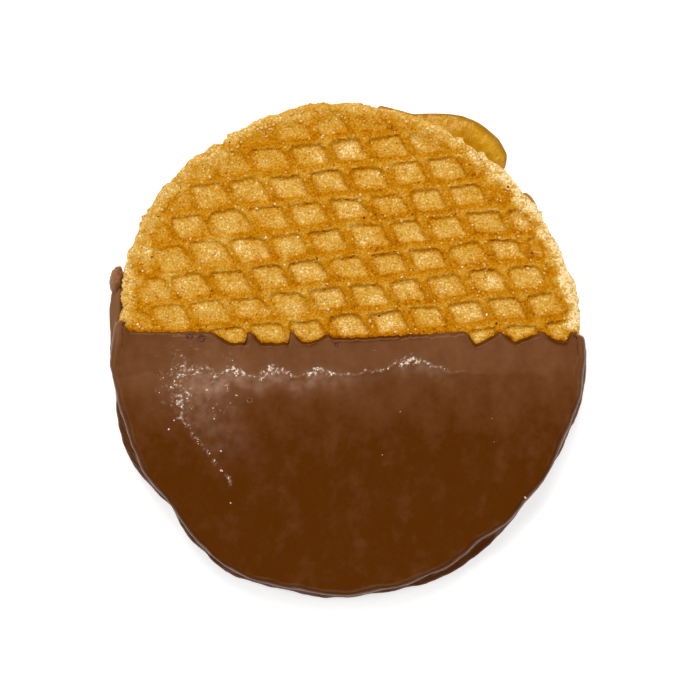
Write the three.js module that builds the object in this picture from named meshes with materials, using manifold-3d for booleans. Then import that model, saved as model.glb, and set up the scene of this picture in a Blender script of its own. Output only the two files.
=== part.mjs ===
// A stroopwafel half dipped in milk chocolate: two thin waffle discs with caramel syrup between
// them, and a chocolate coat over the front half. Millimetres, +Z up, front (coated half) towards -Y.
import * as THREE from 'three';
import { mergeVertices } from 'three/addons/utils/BufferGeometryUtils.js';
import Module from 'manifold-3d';

// ---- Driving dimensions ------------------------------------------------------------------------

const WAFER_RADIUS = 45.1;
const WAFER_THICKNESS = 2.6;
const WAFER_CORNER = 0.8;
const SYRUP_THICKNESS = 1.5;
const COAT_THICKNESS = 0.9;
const COAT_CORNER = 0.9;
const CONTACT_GAP = 0.3;

// The rounds are cut from hand-rolled dough, so each edge swells in a few broad waves.
const EDGE_LOBES = [
  { waves: 1, rise: 1.0, toward: 109 },
  { waves: 2, rise: 1.05, toward: 94 },
  { waves: 3, rise: 0.65, toward: 7 },
];

// Each wafer slides a little against the other and has bumps and dents of its own (degrees, mm).
const UPPER_EDGE = {
  slide: 0,
  slideToward: 270,
  bumps: [
    { at: 118, rise: -0.8, spread: 12 },
    { at: 172, rise: -0.6, spread: 6 },
    { at: 221, rise: -1.0, spread: 7 },
    { at: 243, rise: 0.7, spread: 8 },
    { at: 306, rise: -0.5, spread: 7 },
  ],
};
const LOWER_EDGE = {
  slide: 0.8,
  slideToward: 268,
  bumps: [
    { at: 4, rise: 0.4, spread: 14 },
    { at: 118, rise: -0.8, spread: 12 },
    { at: 164, rise: 0.9, spread: 5 },
    { at: 182, rise: 0.4, spread: 9 },
    { at: 203, rise: 1.0, spread: 11 },
    { at: 222, rise: -1.2, spread: 5 },
    { at: 240, rise: 0.9, spread: 8 },
    { at: 298, rise: 0.9, spread: 13 },
    { at: 324, rise: -0.5, spread: 8 },
    { at: 350, rise: 0.7, spread: 8 },
  ],
};
const SYRUP_EDGE = { slide: 0, slideToward: 0, bumps: [] };
const SYRUP_SETBACK = 1.0;

// Syrup pressed out at the back right, in one large drop and one small one (degrees, mm).
const OOZES = [
  { from: 48.5, to: 83, peak: 60, out: 4.2, tail: 0.6, rise: 1.5 },
  { from: 36.5, to: 43, peak: 39, out: 1.2, tail: 0.0, rise: 0.9 },
];
const BEAD_SECTIONS = 24;
const BEAD_SIDES = 12;
const BEAD_ROOT = 0.5; // how far a bead reaches back into the filling
const BEAD_TIP = 0.15; // half the height of a bead's blunt ends
const TAIL_HEIGHT_SHARE = 0.3;

// Two sets of straight ridges cross and leave slanted four-sided pockets.
const RIDGE_ANGLE_A = 6.5;
const RIDGE_ANGLE_B = -53.9;
const RIDGE_SPACING_A = 5.52;
const RIDGE_SPACING_B = 6.55;
const POCKET_DEPTH = 0.9;
const POCKET_MOUTH = 0.8;
const POCKET_FLOOR = 0.6;
const POCKET_RIM_MARGIN = 5.4;
const POCKET_DIP_MARGIN = 2.6;
const POCKET_CENTRE = { x: 11.6, y: 11.4 };

// Where the dip ends on top: a level line with a tongue of bare wafer hanging over it at each pocket
// that the chocolate did not fill. A tongue falls, runs flat and rises again (all along X, mm).
const DIP_LEVEL = 3.5;
const DIP_CLIMB = { start: -41, slope: 0.95 }; // the line climbs the left rim
const TONGUES = [
  { start: -25.5, fall: 3.3, flat: 3.0, rise: 0.4, depth: 2.0 },
  { start: -18.2, fall: 2.0, flat: 5.1, rise: 0.4, depth: 2.0 },
  { start: -10.3, fall: 2.0, flat: 1.6, rise: 4.0, depth: 1.9 },
  { start: -3.6, fall: 1.0, flat: 5.0, rise: 19.0, depth: 1.1 },
  { start: 22.6, fall: 1.8, flat: 0.2, rise: 4.3, depth: 2.3 },
  { start: 29.0, fall: 2.9, flat: 0.2, rise: 4.5, depth: 1.8 },
  { start: 36.8, fall: 3.0, flat: 1.8, rise: 0.8, depth: 1.6 },
];

// Where it ends below: a slanting wavy line.
const DIP_UNDER = { left: 15.5, right: 1.6, halfWidth: 47, wave: 0.5, waveLength: 31 };

const ROUND_STEPS = 96;
const CORNER_STEPS = 3;
const CUTTER_PROUD = 0.2;
const UNDER_LINE_STEP = 3;

// ---- Heights, from the table up ------------------------------------------------------------------

const LOWER_BASE = COAT_THICKNESS;
const SYRUP_BASE = LOWER_BASE + WAFER_THICKNESS;
const UPPER_BASE = SYRUP_BASE + SYRUP_THICKNESS;
const UPPER_TOP = UPPER_BASE + WAFER_THICKNESS;
const COAT_TOP = UPPER_TOP + COAT_THICKNESS;
const SEAM_HEIGHT = SYRUP_BASE + SYRUP_THICKNESS / 2;

const wasm = await Module();
wasm.setup();

// ---- Shape helpers -------------------------------------------------------------------------------

const radians = THREE.MathUtils.degToRad;

function polar(radius, angle, height) {
  return new THREE.Vector3(radius * Math.cos(radians(angle)), radius * Math.sin(radians(angle)), height);
}

// Shortest signed turn from one direction to another, in degrees.
function turn(angle, other) {
  return ((angle - other + 540) % 360) - 180;
}

// Distance of a layer's edge from the centre, in the direction angle (degrees).
function edgeRadius(edge, angle) {
  let radius = WAFER_RADIUS + edge.slide * Math.cos(radians(angle - edge.slideToward));
  for (const lobe of EDGE_LOBES) {
    radius += lobe.rise * Math.cos(lobe.waves * radians(angle - lobe.toward));
  }
  for (const bump of edge.bumps) {
    radius += bump.rise * Math.exp(-((turn(angle, bump.at) / bump.spread) ** 2));
  }
  return radius;
}

// A closed solid through rings of points: each ring joins the next, the end rings close in a fan.
function ringSolid(rings) {
  const count = rings[0].length;
  const middle = (ring) => ring.reduce((sum, p) => sum.add(p), new THREE.Vector3()).divideScalar(count);
  const points = rings.flat();
  const first = points.push(middle(rings[0])) - 1;
  const last = points.push(middle(rings.at(-1))) - 1;
  const faces = [];
  for (let j = 0; j < count; j++) {
    const next = (j + 1) % count;
    for (let i = 0; i + 1 < rings.length; i++) {
      const low = i * count;
      const high = low + count;
      faces.push(low + j, low + next, high + next);
      faces.push(low + j, high + next, high + j);
    }
    const top = (rings.length - 1) * count;
    faces.push(first, next, j);
    faces.push(last, top + j, top + next);
  }
  const geometry = new THREE.BufferGeometry().setFromPoints(points);
  geometry.setIndex(faces);
  return geometry;
}

// A slab with the edge's outline, grown outwards, with its lower and upper corners rounded.
function slab(edge, { grow = 0, low, high, lowCorner = 0, highCorner = 0 }) {
  const levels = [];
  const corner = (radius, flat, side) => {
    const steps = radius > 0 ? CORNER_STEPS : 0;
    for (let k = 0; k <= steps; k++) {
      const swing = steps > 0 ? (k / steps) * (Math.PI / 2) : Math.PI / 2;
      const inset = radius * (1 - Math.sin(swing));
      const height = flat + side * radius * (1 - Math.cos(swing));
      levels.push({ inset, height });
    }
  };
  corner(lowCorner, low, 1);
  const turned = levels.length;
  corner(highCorner, high, -1);
  levels.push(...levels.splice(turned).reverse());
  return ringSolid(levels.map(({ inset, height }) => {
    const ring = [];
    for (let j = 0; j < ROUND_STEPS; j++) {
      const angle = (360 * j) / ROUND_STEPS;
      const radius = edgeRadius(edge, angle) + grow - inset;
      ring.push(polar(radius, angle, height));
    }
    return ring;
  }));
}

// A bead of syrup along the seam: oval sections that swell from the tail to the peak and close again.
function oozeBead(ooze) {
  const rings = [];
  for (let i = 0; i <= BEAD_SECTIONS; i++) {
    const share = i / BEAD_SECTIONS;
    const angle = ooze.from + (ooze.to - ooze.from) * share;
    const reach = angle < ooze.peak ? ooze.peak - ooze.from : ooze.to - ooze.peak;
    const fade = Math.max(0, 1 - (Math.abs(angle - ooze.peak) / reach) ** 2);
    const swell = angle < ooze.peak ? Math.sqrt(fade) : fade ** 1.5;
    const end = Math.sqrt(1 - Math.abs(2 * share - 1) ** 6);
    const out = BEAD_TIP + (ooze.tail + (ooze.out - ooze.tail) * swell) * end;
    const edge = edgeRadius(UPPER_EDGE, angle);
    const inner = edge - SYRUP_SETBACK - BEAD_ROOT;
    const halfWidth = (edge + out - inner) / 2;
    const halfHeight = BEAD_TIP + (ooze.rise - BEAD_TIP) * Math.max(swell, TAIL_HEIGHT_SHARE) * end;
    const ring = [];
    for (let j = 0; j < BEAD_SIDES; j++) {
      const phase = (2 * Math.PI * j) / BEAD_SIDES;
      const radius = inner + halfWidth + halfWidth * Math.sin(phase);
      ring.push(polar(radius, angle, SEAM_HEIGHT + halfHeight * Math.cos(phase)));
    }
    rings.push(ring);
  }
  return ringSolid(rings);
}

// ---- Solids and their joins ------------------------------------------------------------------------

function toSolid(geometry) {
  const bare = geometry.clone();
  bare.deleteAttribute('normal');
  bare.deleteAttribute('uv');
  const merged = mergeVertices(bare);
  const vertProperties = new Float32Array(merged.attributes.position.array);
  const triVerts = new Uint32Array(merged.index.array);
  return new wasm.Manifold(new wasm.Mesh({ numProp: 3, vertProperties, triVerts }));
}

function toGeometry(solid) {
  const mesh = solid.getMesh();
  const geometry = new THREE.BufferGeometry();
  geometry.setAttribute('position', new THREE.BufferAttribute(mesh.vertProperties, mesh.numProp));
  geometry.setIndex(new THREE.BufferAttribute(mesh.triVerts, 1));
  geometry.computeVertexNormals();
  return geometry;
}

// ---- Where the dip ends ----------------------------------------------------------------------------

const alongA = new THREE.Vector2(Math.cos(radians(RIDGE_ANGLE_A)), Math.sin(radians(RIDGE_ANGLE_A)));
const alongB = new THREE.Vector2(Math.cos(radians(RIDGE_ANGLE_B)), Math.sin(radians(RIDGE_ANGLE_B)));
const crossing = Math.sin(radians(RIDGE_ANGLE_A - RIDGE_ANGLE_B));
const STEP_A = RIDGE_SPACING_B / crossing;
const STEP_B = RIDGE_SPACING_A / crossing;

function dipTopLevel(x) {
  let y = DIP_LEVEL + DIP_CLIMB.slope * Math.max(0, DIP_CLIMB.start - x);
  for (const tongue of TONGUES) {
    const along = x - tongue.start;
    const falling = along / tongue.fall;
    const rising = (tongue.fall + tongue.flat + tongue.rise - along) / tongue.rise;
    y -= tongue.depth * THREE.MathUtils.clamp(Math.min(falling, rising), 0, 1);
  }
  return y;
}

function dipUnderLevel(x) {
  const share = (DIP_UNDER.halfWidth - x) / (2 * DIP_UNDER.halfWidth);
  const slant = DIP_UNDER.right + (DIP_UNDER.left - DIP_UNDER.right) * share;
  return slant + DIP_UNDER.wave * Math.sin((2 * Math.PI * x) / DIP_UNDER.waveLength);
}

// The space in front of a dip line, as a prism between two heights.
function dipSpace(line, low, high) {
  const reach = 2 * WAFER_RADIUS;
  const shape = new THREE.Shape([
    new THREE.Vector2(-reach, -reach),
    new THREE.Vector2(reach, -reach),
    new THREE.Vector2(reach, line[0].y),
    ...line,
    new THREE.Vector2(-reach, line.at(-1).y),
  ]);
  const prism = new THREE.ExtrudeGeometry(shape, { depth: high - low, bevelEnabled: false });
  prism.translate(0, 0, low);
  return toSolid(prism);
}

// The upper line turns at the corners of each tongue and nowhere else, apart from its two ends.
function tonguedLine() {
  const corners = [WAFER_RADIUS + 1, DIP_CLIMB.start, -WAFER_RADIUS - 1];
  for (const { start, fall, flat, rise } of TONGUES) {
    corners.push(start, start + fall, start + fall + flat, start + fall + flat + rise);
  }
  return corners.sort((a, b) => b - a).map((x) => new THREE.Vector2(x, dipTopLevel(x)));
}

function wavyLine() {
  const line = [];
  const reach = DIP_UNDER.halfWidth + UNDER_LINE_STEP;
  for (let x = reach; x >= -reach; x -= UNDER_LINE_STEP) {
    line.push(new THREE.Vector2(x, dipUnderLevel(x)));
  }
  return line;
}

// ---- Pockets of the waffle pattern -------------------------------------------------------------------

// One pocket cutter: four sloped sides from the mouth, a little proud of the face, to the floor.
function pocketCutter(centre, face, inwards) {
  const slope = (POCKET_MOUTH - POCKET_FLOOR) / POCKET_DEPTH;
  const square = (share, height) => [[-1, -1], [1, -1], [1, 1], [-1, 1]].map(([a, b]) => {
    const alongRidge = alongA.clone().multiplyScalar((a * share * STEP_A) / 2);
    const across = alongB.clone().multiplyScalar((-b * share * STEP_B) / 2);
    return new THREE.Vector3(centre.x + alongRidge.x + across.x, centre.y + alongRidge.y + across.y, height);
  });
  const mouth = square(POCKET_MOUTH + slope * CUTTER_PROUD, face - inwards * CUTTER_PROUD);
  const floor = square(POCKET_FLOOR, face + inwards * POCKET_DEPTH);
  return toSolid(ringSolid(inwards > 0 ? [mouth, floor] : [floor, mouth]));
}

// Every pocket centre that lies inside the rim and behind the dip line.
function pocketCentres(edge, dipLevel) {
  const centres = [];
  const most = Math.ceil((2 * WAFER_RADIUS) / Math.min(STEP_A, STEP_B));
  for (let i = -most; i <= most; i++) {
    for (let j = -most; j <= most; j++) {
      const x = POCKET_CENTRE.x + i * STEP_A * alongA.x + j * STEP_B * alongB.x;
      const y = POCKET_CENTRE.y + i * STEP_A * alongA.y + j * STEP_B * alongB.y;
      const edgeHere = edgeRadius(edge, THREE.MathUtils.radToDeg(Math.atan2(y, x)));
      const insideRim = Math.hypot(x, y) < edgeHere - POCKET_RIM_MARGIN;
      if (insideRim && y > dipLevel(x) + POCKET_DIP_MARGIN) {
        centres.push({ x, y });
      }
    }
  }
  return centres;
}

function wafer(edge, base, dipLevel, pocketsUp) {
  const top = base + WAFER_THICKNESS;
  let body = toSolid(slab(edge, { low: base, high: top, lowCorner: WAFER_CORNER, highCorner: WAFER_CORNER }));
  for (const centre of pocketCentres(edge, dipLevel)) {
    body = body.subtract(pocketsUp ? pocketCutter(centre, top, -1) : pocketCutter(centre, base, 1));
  }
  return body;
}

// ---- The four pieces ---------------------------------------------------------------------------------

// A wafer with a little air all round, to cut its neighbours clear of it.
function clearance(edge, base) {
  const low = base - CONTACT_GAP;
  const high = base + WAFER_THICKNESS + CONTACT_GAP;
  return toSolid(slab(edge, { grow: CONTACT_GAP, low, high }));
}

function syrupFilling() {
  const lower = clearance(LOWER_EDGE, LOWER_BASE);
  const upper = clearance(UPPER_EDGE, UPPER_BASE);
  let filling = toSolid(slab(SYRUP_EDGE, { grow: -SYRUP_SETBACK, low: SYRUP_BASE, high: UPPER_BASE }));
  for (const ooze of OOZES) {
    filling = filling.add(toSolid(oozeBead(ooze)).subtract(lower).subtract(upper));
  }
  return filling;
}

// The room that the wafers and the filling take up inside the coat. Chocolate fills the groove
// between the wafers as far as the syrup, which ties the upper and lower coats together.
function coatRoom() {
  const grow = CONTACT_GAP;
  const floor = UPPER_BASE - CONTACT_GAP;
  const ceiling = SYRUP_BASE + CONTACT_GAP;
  const upper = slab(UPPER_EDGE, { grow, low: floor, high: UPPER_TOP, highCorner: WAFER_CORNER });
  const lower = slab(LOWER_EDGE, { grow, low: LOWER_BASE, high: ceiling, lowCorner: WAFER_CORNER });
  const middle = slab(SYRUP_EDGE, { grow: grow - SYRUP_SETBACK, low: SYRUP_BASE, high: UPPER_BASE });
  return toSolid(upper).add(toSolid(lower)).add(toSolid(middle));
}

function chocolateCoat() {
  const grow = COAT_THICKNESS;
  const upper = slab(UPPER_EDGE, { grow, low: SEAM_HEIGHT, high: COAT_TOP, highCorner: COAT_CORNER });
  const lower = slab(LOWER_EDGE, { grow, low: 0, high: SEAM_HEIGHT, lowCorner: COAT_CORNER });
  const aboveSeam = dipSpace(tonguedLine(), SEAM_HEIGHT, COAT_TOP + 1);
  const belowSeam = dipSpace(wavyLine(), -1, SEAM_HEIGHT);
  const dipped = toSolid(upper).intersect(aboveSeam).add(toSolid(lower).intersect(belowSeam));
  return dipped.subtract(coatRoom());
}

const MATERIALS = {
  wafer: new THREE.MeshStandardMaterial({ color: 0xcf8f2e, roughness: 0.8, metalness: 0 }),
  syrup: new THREE.MeshStandardMaterial({ color: 0xc98f1d, roughness: 0.25, metalness: 0 }),
  chocolate: new THREE.MeshStandardMaterial({ color: 0x5f3413, roughness: 0.4, metalness: 0 }),
};

function piece(name, solid, material) {
  const mesh = new THREE.Mesh(toGeometry(solid), material);
  mesh.name = name;
  return mesh;
}

const stroopwafel = new THREE.Group();
stroopwafel.add(
  piece('wafer_top', wafer(UPPER_EDGE, UPPER_BASE, dipTopLevel, true), MATERIALS.wafer),
  piece('wafer_bottom', wafer(LOWER_EDGE, LOWER_BASE, dipUnderLevel, false), MATERIALS.wafer),
  piece('syrup', syrupFilling(), MATERIALS.syrup),
  piece('chocolate_coating', chocolateCoat(), MATERIALS.chocolate),
);

// The origin is the middle of the footprint, on the table.
const box = new THREE.Box3().setFromObject(stroopwafel);
const centre = box.getCenter(new THREE.Vector3());
stroopwafel.position.set(-centre.x, -centre.y, -box.min.z);

export default stroopwafel;
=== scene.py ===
"""Dresses a stroopwafel: two waffle rounds with syrup between them, half dipped in milk chocolate.

Every shape is worked out in millimetres in the round's own frame, centred on the rounds, and moved
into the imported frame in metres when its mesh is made. +Z is up, the coated half lies towards -Y.
"""

import logging
from dataclasses import dataclass, field
from enum import Enum
from typing import Iterable

import bpy
import numpy as np
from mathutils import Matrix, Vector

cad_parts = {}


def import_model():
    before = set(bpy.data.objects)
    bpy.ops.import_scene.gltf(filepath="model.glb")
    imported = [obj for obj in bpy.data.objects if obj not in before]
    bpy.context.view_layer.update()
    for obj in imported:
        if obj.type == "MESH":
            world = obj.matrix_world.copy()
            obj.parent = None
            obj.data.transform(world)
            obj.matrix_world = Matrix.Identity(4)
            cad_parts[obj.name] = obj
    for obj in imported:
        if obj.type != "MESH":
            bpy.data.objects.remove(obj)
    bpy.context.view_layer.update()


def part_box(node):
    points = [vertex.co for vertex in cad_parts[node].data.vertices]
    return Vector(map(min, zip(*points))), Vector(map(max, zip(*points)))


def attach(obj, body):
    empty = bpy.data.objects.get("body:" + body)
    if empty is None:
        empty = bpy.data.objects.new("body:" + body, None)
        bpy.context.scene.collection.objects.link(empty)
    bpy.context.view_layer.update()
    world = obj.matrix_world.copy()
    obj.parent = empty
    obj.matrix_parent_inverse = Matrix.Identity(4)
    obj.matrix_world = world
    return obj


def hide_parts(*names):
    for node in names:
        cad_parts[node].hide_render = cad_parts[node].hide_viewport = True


LOG = logging.getLogger("stroopwafel")
MM = 0.001
FULL_TURN = 360.0

Array = np.ndarray


# ---- Number helpers ----


def smooth(low: float, high: float, value: Array) -> Array:
    """Smooth step: 0 at low, 1 at high, 3t^2 - 2t^3 between them.

    Args:
        low: value where the step starts; it may be above high, which turns the step round.
        high: value where the step is complete.
        value: numbers to test.

    Returns:
        Shares from 0 to 1, in value's shape.
    """
    share = np.clip((value - low) / (high - low), 0.0, 1.0)
    return share * share * (3.0 - 2.0 * share)


def mix(first: Array, second: Array, share: Array) -> Array:
    """Straight blend from first (share 0) to second (share 1)."""
    return first + (second - first) * share


def hump(value: Array, centre: float, width: float) -> Array:
    """Bell curve exp(-((value - centre) / width)^2)."""
    return np.exp(-(((value - centre) / width) ** 2))


class NoiseField:
    """Smooth random field on the plane.

    Random unit directions sit on a square lattice; the value at a point is the blend of the four
    corner directions' dot products with the offsets to it, with the weights 6t^5 - 15t^4 + 10t^3.
    """

    CELLS = 128
    OCTAVE_SHIFT = 17.3
    GAIN = 1.5

    def __init__(self, seed: int) -> None:
        """Draws the lattice's directions from the seed."""
        turns = np.random.default_rng(seed).uniform(0.0, 2.0 * np.pi, (self.CELLS, self.CELLS))
        self.east = np.cos(turns)
        self.north = np.sin(turns)

    def at(self, x: Array, y: Array, size: float) -> Array:
        """One octave of the field.

        Args:
            x: first coordinates, in millimetres.
            y: second coordinates, in millimetres.
            size: lattice spacing, in millimetres.

        Returns:
            Values from about -1 to 1, in the shape of x.
        """
        u, v = np.broadcast_arrays(np.asarray(x) / size, np.asarray(y) / size)
        i, j = np.floor(u).astype(int), np.floor(v).astype(int)
        fu, fv = u - i, v - j

        def corner(di: int, dj: int) -> Array:
            """Dot product of one corner's direction with the offset to the point."""
            row, column = (i + di) % self.CELLS, (j + dj) % self.CELLS
            return self.east[row, column] * (fu - di) + self.north[row, column] * (fv - dj)

        su, sv = (t * t * t * (t * (t * 6.0 - 15.0) + 10.0) for t in (fu, fv))
        near = mix(corner(0, 0), corner(1, 0), su)
        far = mix(corner(0, 1), corner(1, 1), su)
        return self.GAIN * mix(near, far, sv)

    def layered(self, x: Array, y: Array, size: float, octaves: int) -> Array:
        """Sum of octaves, each half the size and half the height of the one before.

        Args:
            x: first coordinates, in millimetres.
            y: second coordinates, in millimetres.
            size: lattice spacing of the first octave, in millimetres.
            octaves: how many octaves to add up.

        Returns:
            Values from about -2 to 2.
        """
        total = np.zeros(np.broadcast(x, y).shape)
        for octave in range(octaves):
            shift = self.OCTAVE_SHIFT * octave
            total = total + self.at(x + shift, y - shift, size / 2**octave) / 2**octave
        return total


@dataclass(frozen=True)
class NoiseLayer:
    """One use of a noise field: its size, octaves and gain, and where in the field it is read."""

    size: float
    octaves: int
    gain: float = 1.0
    east: float = 0.0
    north: float = 0.0

    def read(self, noise: NoiseField, x: Array, y: Array) -> Array:
        """The layered field at each point, times the gain."""
        return self.gain * noise.layered(x + self.east, y + self.north, self.size, self.octaves)

    def along(self, noise: NoiseField, x: Array) -> Array:
        """The same along one straight line of the field, `north` millimetres up."""
        return self.read(noise, x, 0.0 * x)


# ---- The rounds' outlines ----


@dataclass(frozen=True)
class Swell:
    """A broad wave of the outline: `waves` of them round the edge, one crest toward a direction."""

    waves: int
    rise: float
    toward: float


@dataclass(frozen=True)
class Bump:
    """A local bump (or dent, if rise is negative) of an edge, in degrees and millimetres."""

    at: float
    rise: float
    spread: float


WAFER_RADIUS = 45.1
SWELLS = (Swell(1, 1.0, 109.0), Swell(2, 1.05, 94.0), Swell(3, 0.65, 7.0))


@dataclass(frozen=True)
class Edge:
    """The outline of one layer, as a distance from the centre for each direction."""

    slide: float = 0.0
    slide_toward: float = 270.0
    bumps: tuple[Bump, ...] = ()

    def radius(self, angle: Array) -> Array:
        """Base radius, plus a cosine for each swell and the slide, plus a bell for each bump.

        Args:
            angle: directions in degrees, counter-clockwise from +X.

        Returns:
            Distances from the centre, in millimetres.
        """
        radius = WAFER_RADIUS + self.slide * np.cos(np.radians(angle - self.slide_toward))
        for swell in SWELLS:
            radius = radius + swell.rise * np.cos(swell.waves * np.radians(angle - swell.toward))
        for bump in self.bumps:
            turn = (angle - bump.at + 1.5 * FULL_TURN) % FULL_TURN - 0.5 * FULL_TURN
            radius = radius + bump.rise * hump(turn, 0.0, bump.spread)
        return radius


UPPER_EDGE = Edge(bumps=(
    Bump(118.0, -0.8, 12.0), Bump(172.0, -0.6, 6.0), Bump(221.0, -1.0, 7.0),
    Bump(243.0, 0.7, 8.0), Bump(306.0, -0.5, 7.0),
))
LOWER_EDGE = Edge(slide=0.8, slide_toward=268.0, bumps=(
    Bump(4.0, 0.4, 14.0), Bump(118.0, -0.8, 12.0), Bump(164.0, 0.9, 5.0), Bump(182.0, 0.4, 9.0),
    Bump(203.0, 1.0, 11.0), Bump(222.0, -1.2, 5.0), Bump(240.0, 0.9, 8.0),
    Bump(298.0, 0.9, 13.0), Bump(324.0, -0.5, 8.0), Bump(350.0, 0.7, 8.0),
))


def direction(x: Array, y: Array) -> Array:
    """Direction of each point from the centre, in degrees."""
    return np.degrees(np.arctan2(y, x))


def polar(radius: Array, angle: Array) -> tuple[Array, Array]:
    """X and Y of the points at a radius and a direction in degrees."""
    turn = np.radians(angle)
    return radius * np.cos(turn), radius * np.sin(turn)


# ---- Heights and placing ----


@dataclass(frozen=True)
class Levels:
    """Heights of the layers above the table, in millimetres, and their centre in the frame."""

    lower_base: float
    lower_top: float
    upper_base: float
    upper_top: float
    centre: tuple[float, float]

    @property
    def seam(self) -> float:
        """Height of the middle of the filling."""
        return 0.5 * (self.lower_top + self.upper_base)

    @classmethod
    def from_frame(cls) -> "Levels":
        """Reads the layers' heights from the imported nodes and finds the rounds' centre.

        Returns:
            The levels, with the centre that makes the top wafer's outline fill its node's box.
        """
        lower, upper = (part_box(name) for name in ("wafer_bottom", "wafer_top"))
        x, y = polar(UPPER_EDGE.radius(np.arange(FULL_TURN)), np.arange(FULL_TURN))
        middle = (0.5 * (x.min() + x.max()), 0.5 * (y.min() + y.max()))
        centre = tuple(0.5 * (upper[0][k] + upper[1][k]) / MM - middle[k] for k in (0, 1))
        heights = (lower[0].z, lower[1].z, upper[0].z, upper[1].z)
        return cls(*(height / MM for height in heights), centre)


# ---- Meshes ----


def grid_faces(rows: int, columns: int, start: int = 0, wrap: bool = False) -> Array:
    """Quads of a grid of points numbered row by row, wound so that rows x columns faces outwards.

    Args:
        rows: number of rows of points.
        columns: number of points in a row.
        start: number of the first point.
        wrap: whether the last column joins the first.

    Returns:
        One line of four point numbers for each quad.
    """
    i = np.arange(rows - 1)[:, None] * columns
    j = np.arange(columns if wrap else columns - 1)[None, :]
    following = (j + 1) % columns
    corners = (i + j, i + following, i + columns + following, i + columns + j)
    return start + np.stack(corners, axis=-1).reshape(-1, 4)


def fan_faces(loop: Array, hub: int) -> Array:
    """Triangles from each side of a closed loop of points to one hub point."""
    return np.stack((loop, np.roll(loop, -1), np.full(loop.shape, hub)), axis=-1)


def closed_tube(rows: int, columns: int) -> list[Array]:
    """Faces of a tube of rings, numbered from the top down, closed by two hubs numbered after it.

    Args:
        rows: number of rings.
        columns: number of points in a ring.

    Returns:
        The tube's quads, then the top fan and the bottom fan.
    """
    count, loop = rows * columns, np.arange(columns)
    return [
        grid_faces(rows, columns, wrap=True)[:, ::-1],
        fan_faces(loop, count),
        fan_faces(loop + count - columns, count + 1)[:, ::-1],
    ]


def round_turns(count: int) -> Array:
    """Even angles of one whole turn, in radians."""
    return np.linspace(0.0, 2.0 * np.pi, count, endpoint=False)


@dataclass
class Surface:
    """A mesh in the making: points in millimetres, faces, and one number per point for each look."""

    points: Array
    faces: list[Array]
    looks: dict[str, Array] = field(default_factory=dict)

    def to_object(self, name: str, levels: Levels, material: bpy.types.Material) -> bpy.types.Object:
        """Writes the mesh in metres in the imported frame.

        Args:
            name: the piece's name.
            levels: gives the rounds' centre in the frame.
            material: the piece's finish.

        Returns:
            The new object, at the origin, smooth shaded.
        """
        mesh = bpy.data.meshes.new(name)
        moved = (self.points + np.array([*levels.centre, 0.0])) * MM
        counts = np.concatenate([np.full(len(f), f.shape[1]) for f in self.faces])
        corners = np.concatenate([f.ravel() for f in self.faces])
        mesh.vertices.add(len(moved))
        mesh.vertices.foreach_set("co", moved.astype(np.float32).ravel())
        mesh.loops.add(len(corners))
        mesh.loops.foreach_set("vertex_index", corners.astype(np.int32))
        mesh.polygons.add(len(counts))
        starts = np.concatenate(([0], np.cumsum(counts)[:-1]))
        mesh.polygons.foreach_set("loop_start", starts.astype(np.int32))
        mesh.polygons.foreach_set("use_smooth", np.ones(len(counts), dtype=bool))
        for look, values in self.looks.items():
            layer = mesh.attributes.new(look, "FLOAT", "POINT")
            layer.data.foreach_set("value", values.astype(np.float32).ravel())
        mesh.update()
        mesh.validate()
        mesh.materials.append(material)
        piece = bpy.data.objects.new(name, mesh)
        bpy.context.scene.collection.objects.link(piece)
        return piece


def settle(piece: bpy.types.Object, slot: str, nodes: Iterable[str] = ()) -> bpy.types.Object:
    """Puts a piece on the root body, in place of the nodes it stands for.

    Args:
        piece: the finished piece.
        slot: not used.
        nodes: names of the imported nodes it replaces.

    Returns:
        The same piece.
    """
    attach(piece, "root")
    for node in nodes:
        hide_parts(node)
    LOG.info("%s: %d faces", piece.name, len(piece.data.polygons))
    return piece


# ---- The waffle pattern ----


@dataclass(frozen=True)
class WafflePattern:
    """Two sets of ridges that cross at a slant, with a sunk pocket in each opening between them."""

    angle_a: float = 6.5
    angle_b: float = -53.9
    spacing_a: float = 5.52
    spacing_b: float = 6.55
    pocket: tuple[float, float] = (11.6, 11.4)
    half_a: float = 1.9
    half_b: float = 2.42
    upright: float = 0.15
    corner: float = 0.7
    wander: float = 0.42
    wander_x: NoiseLayer = NoiseLayer(11.0, 2)
    wander_y: NoiseLayer = NoiseLayer(9.0, 2, east=60.0, north=35.0)

    def across(self, x: Array, y: Array, angle: float, spacing: float) -> Array:
        """Distance across one set of ridges, in spacings from the reference pocket's middle."""
        turn = np.radians(angle)
        return ((y - self.pocket[1]) * np.cos(turn) - (x - self.pocket[0]) * np.sin(turn)) / spacing

    def cells(self, x: Array, y: Array, noise: NoiseField) -> tuple[Array, Array, Array, Array]:
        """Which pocket each point belongs to, and how far it lies from that pocket's wall.

        The plane first wanders by a soft noise. The signed distance is that of a rounded box: the
        two distances past the pocket's half widths, joined round its corner. The pocket's slanting
        walls stand more upright than the lines of pockets do.

        Args:
            x: first coordinates.
            y: second coordinates.
            noise: the field that bends the ridges.

        Returns:
            Pocket numbers across the two ridge sets, the offset across the first set in
            millimetres, and the distance from the wall, negative inside the pocket.
        """
        bent_x = x + self.wander * self.wander_x.read(noise, x, y)
        bent_y = y + self.wander * self.wander_y.read(noise, x, y)
        a = self.across(bent_x, bent_y, self.angle_a, self.spacing_a)
        b = self.across(bent_x, bent_y, self.angle_b, self.spacing_b)
        row, column = np.round(a), np.round(b)
        offset_a = (a - row) * self.spacing_a
        offset_b = (b - column) * self.spacing_b - self.upright * offset_a
        past_a = np.abs(offset_a) - self.half_a + self.corner
        past_b = np.abs(offset_b) - self.half_b + self.corner
        outside = np.hypot(np.maximum(past_a, 0.0), np.maximum(past_b, 0.0))
        distance = outside + np.minimum(np.maximum(past_a, past_b), 0.0) - self.corner
        return row.astype(int), column.astype(int), offset_a, distance


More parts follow.
